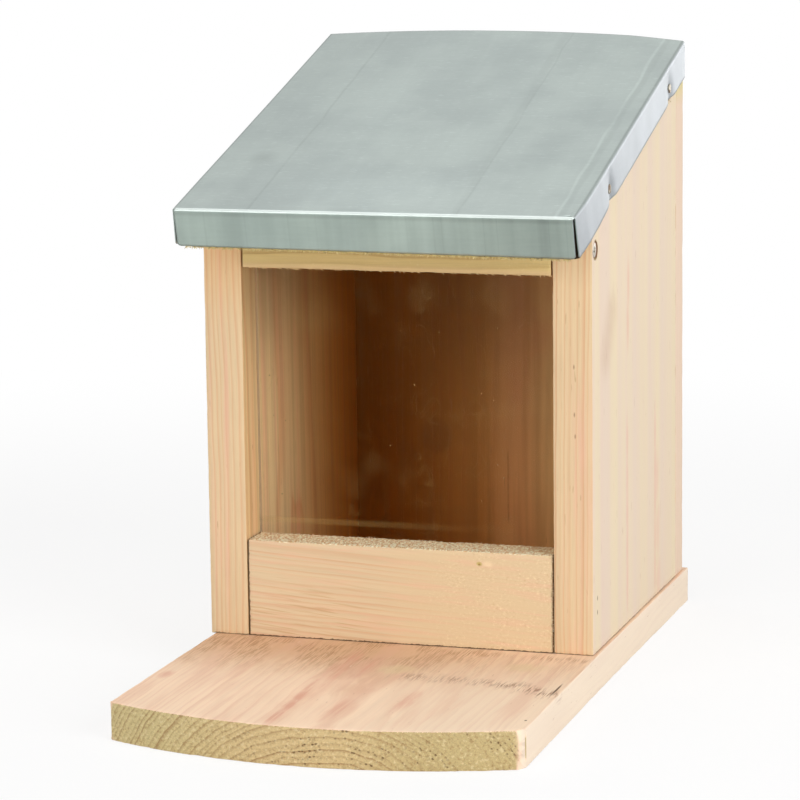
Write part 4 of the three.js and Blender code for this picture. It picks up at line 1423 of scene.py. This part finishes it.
def make_camera():
    """The photograph's camera"""
    lens = bpy.data.cameras.new("camera")
    lens.sensor_width = sensor_width
    lens.lens = focal_pixels / image_pixels * sensor_width
    lens.shift_x = (image_pixels / 2 - principal_pixel[0]) / image_pixels
    lens.shift_y = (principal_pixel[1] - image_pixels / 2) / image_pixels
    swing, climb, roll = camera_azimuth, camera_elevation, camera_roll
    back = Vector((math.sin(swing) * math.cos(climb), -math.cos(swing) * math.cos(climb),
                   math.sin(climb)))
    level = Vector((math.cos(swing), math.sin(swing), 0))
    upright = back.cross(level)
    right = level * math.cos(roll) + upright * math.sin(roll)
    up = upright * math.cos(roll) - level * math.sin(roll)
    camera = object_of("camera", lens)
    turn = Matrix((right, up, back)).transposed().to_4x4()
    camera.matrix_world = Matrix.Translation(camera_place) @ turn
    bpy.context.scene.camera = camera


def soft_lamp(name, place, size, level):
    """A square soft lamp that lights what faces it, where the lamps aim, to about this level"""
    lamp = bpy.data.lights.new(name, "AREA")
    lamp.shape = "SQUARE"
    lamp.size = size
    way = lamps_aim - place
    lamp.energy = level * math.pi ** 2 * way.length_squared
    turn = way.to_track_quat("-Z", "Y").to_matrix().to_4x4()
    object_of(name, lamp).matrix_world = Matrix.Translation(place) @ turn


def make_light():
    """Soft light from both sides, above and behind, and a white background for the camera,
    gloss and glass"""
    world = bpy.data.worlds.new("world")
    bpy.context.scene.world = world
    world.use_nodes = True
    sky = Tree(world.node_tree)
    camera, glossy, through = (sky.node("LightPath", output=f"Is {kind} Ray")
                               for kind in ("Camera", "Glossy", "Transmission"))
    seen = camera.larger(glossy).larger(through)
    background = sky.node_tree.nodes["Background"].inputs
    sky.join(background["Strength"], seen * (1 - world_level) + world_level)
    sky.join(background["Color"], white)
    for name, way, distance, size, level in lamps:
        soft_lamp(name, lamps_aim + Vector(way).normalized() * distance, size, level)


def make_floor():
    """A plain pale floor, white to the camera, that keeps a soft shadow near the feeder"""
    bm = bmesh.new()
    bmesh.ops.create_grid(bm, x_segments=1, y_segments=1, size=floor_half)
    floor = object_of("floor", mesh_of("floor", bm))
    paper = Finish("floor_paper")
    seen = paper.node("LightPath", output="Is Camera Ray")
    level = seen * (1 - floor_pale) + floor_pale
    paper.set(Base_Color=paper.grey(level), Roughness=0.9, Specular_IOR_Level=0)
    far = paper.place.length().rise(*floor_clear)
    glow = paper.node("Emission", None, {"Color": white, "Strength": 1})
    plain = far * floor_shadow_share + (1 - floor_shadow_share)
    paper.show(seen * plain, paper.own_shader(), glow)
    floor.data.materials.append(paper.material)


bpy.context.scene.view_settings.view_transform = "Standard"
make_camera()
make_light()
make_floor()
make_base()
make_side("left", -1, grain_seed=2.0, wear_seed=21)
make_side("right", 1, grain_seed=7.0, wear_seed=22)
make_back()
make_front_board()
make_rail()
make_lid_board()
make_sheet()
steel = steel_finish("plated_steel", paint(196, 190, 178), paint(150, 132, 110), 0.3)
rusty = steel_finish("nail_steel", paint(176, 168, 150), paint(104, 76, 50), 0.8)
rimmed = steel_finish("rail_screw_steel", paint(210, 204, 192), paint(120, 92, 66), 0.2,
                      rims="rail_screw_right")
make_fasteners(steel, rusty, rimmed)
for hinge_side in ("left", "right"):
    make_hinge(hinge_side, steel)
make_hanger(steel)
pane_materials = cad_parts["window_pane"].data.materials
pane_materials.clear()
pane_materials.append(pane_finish().material)
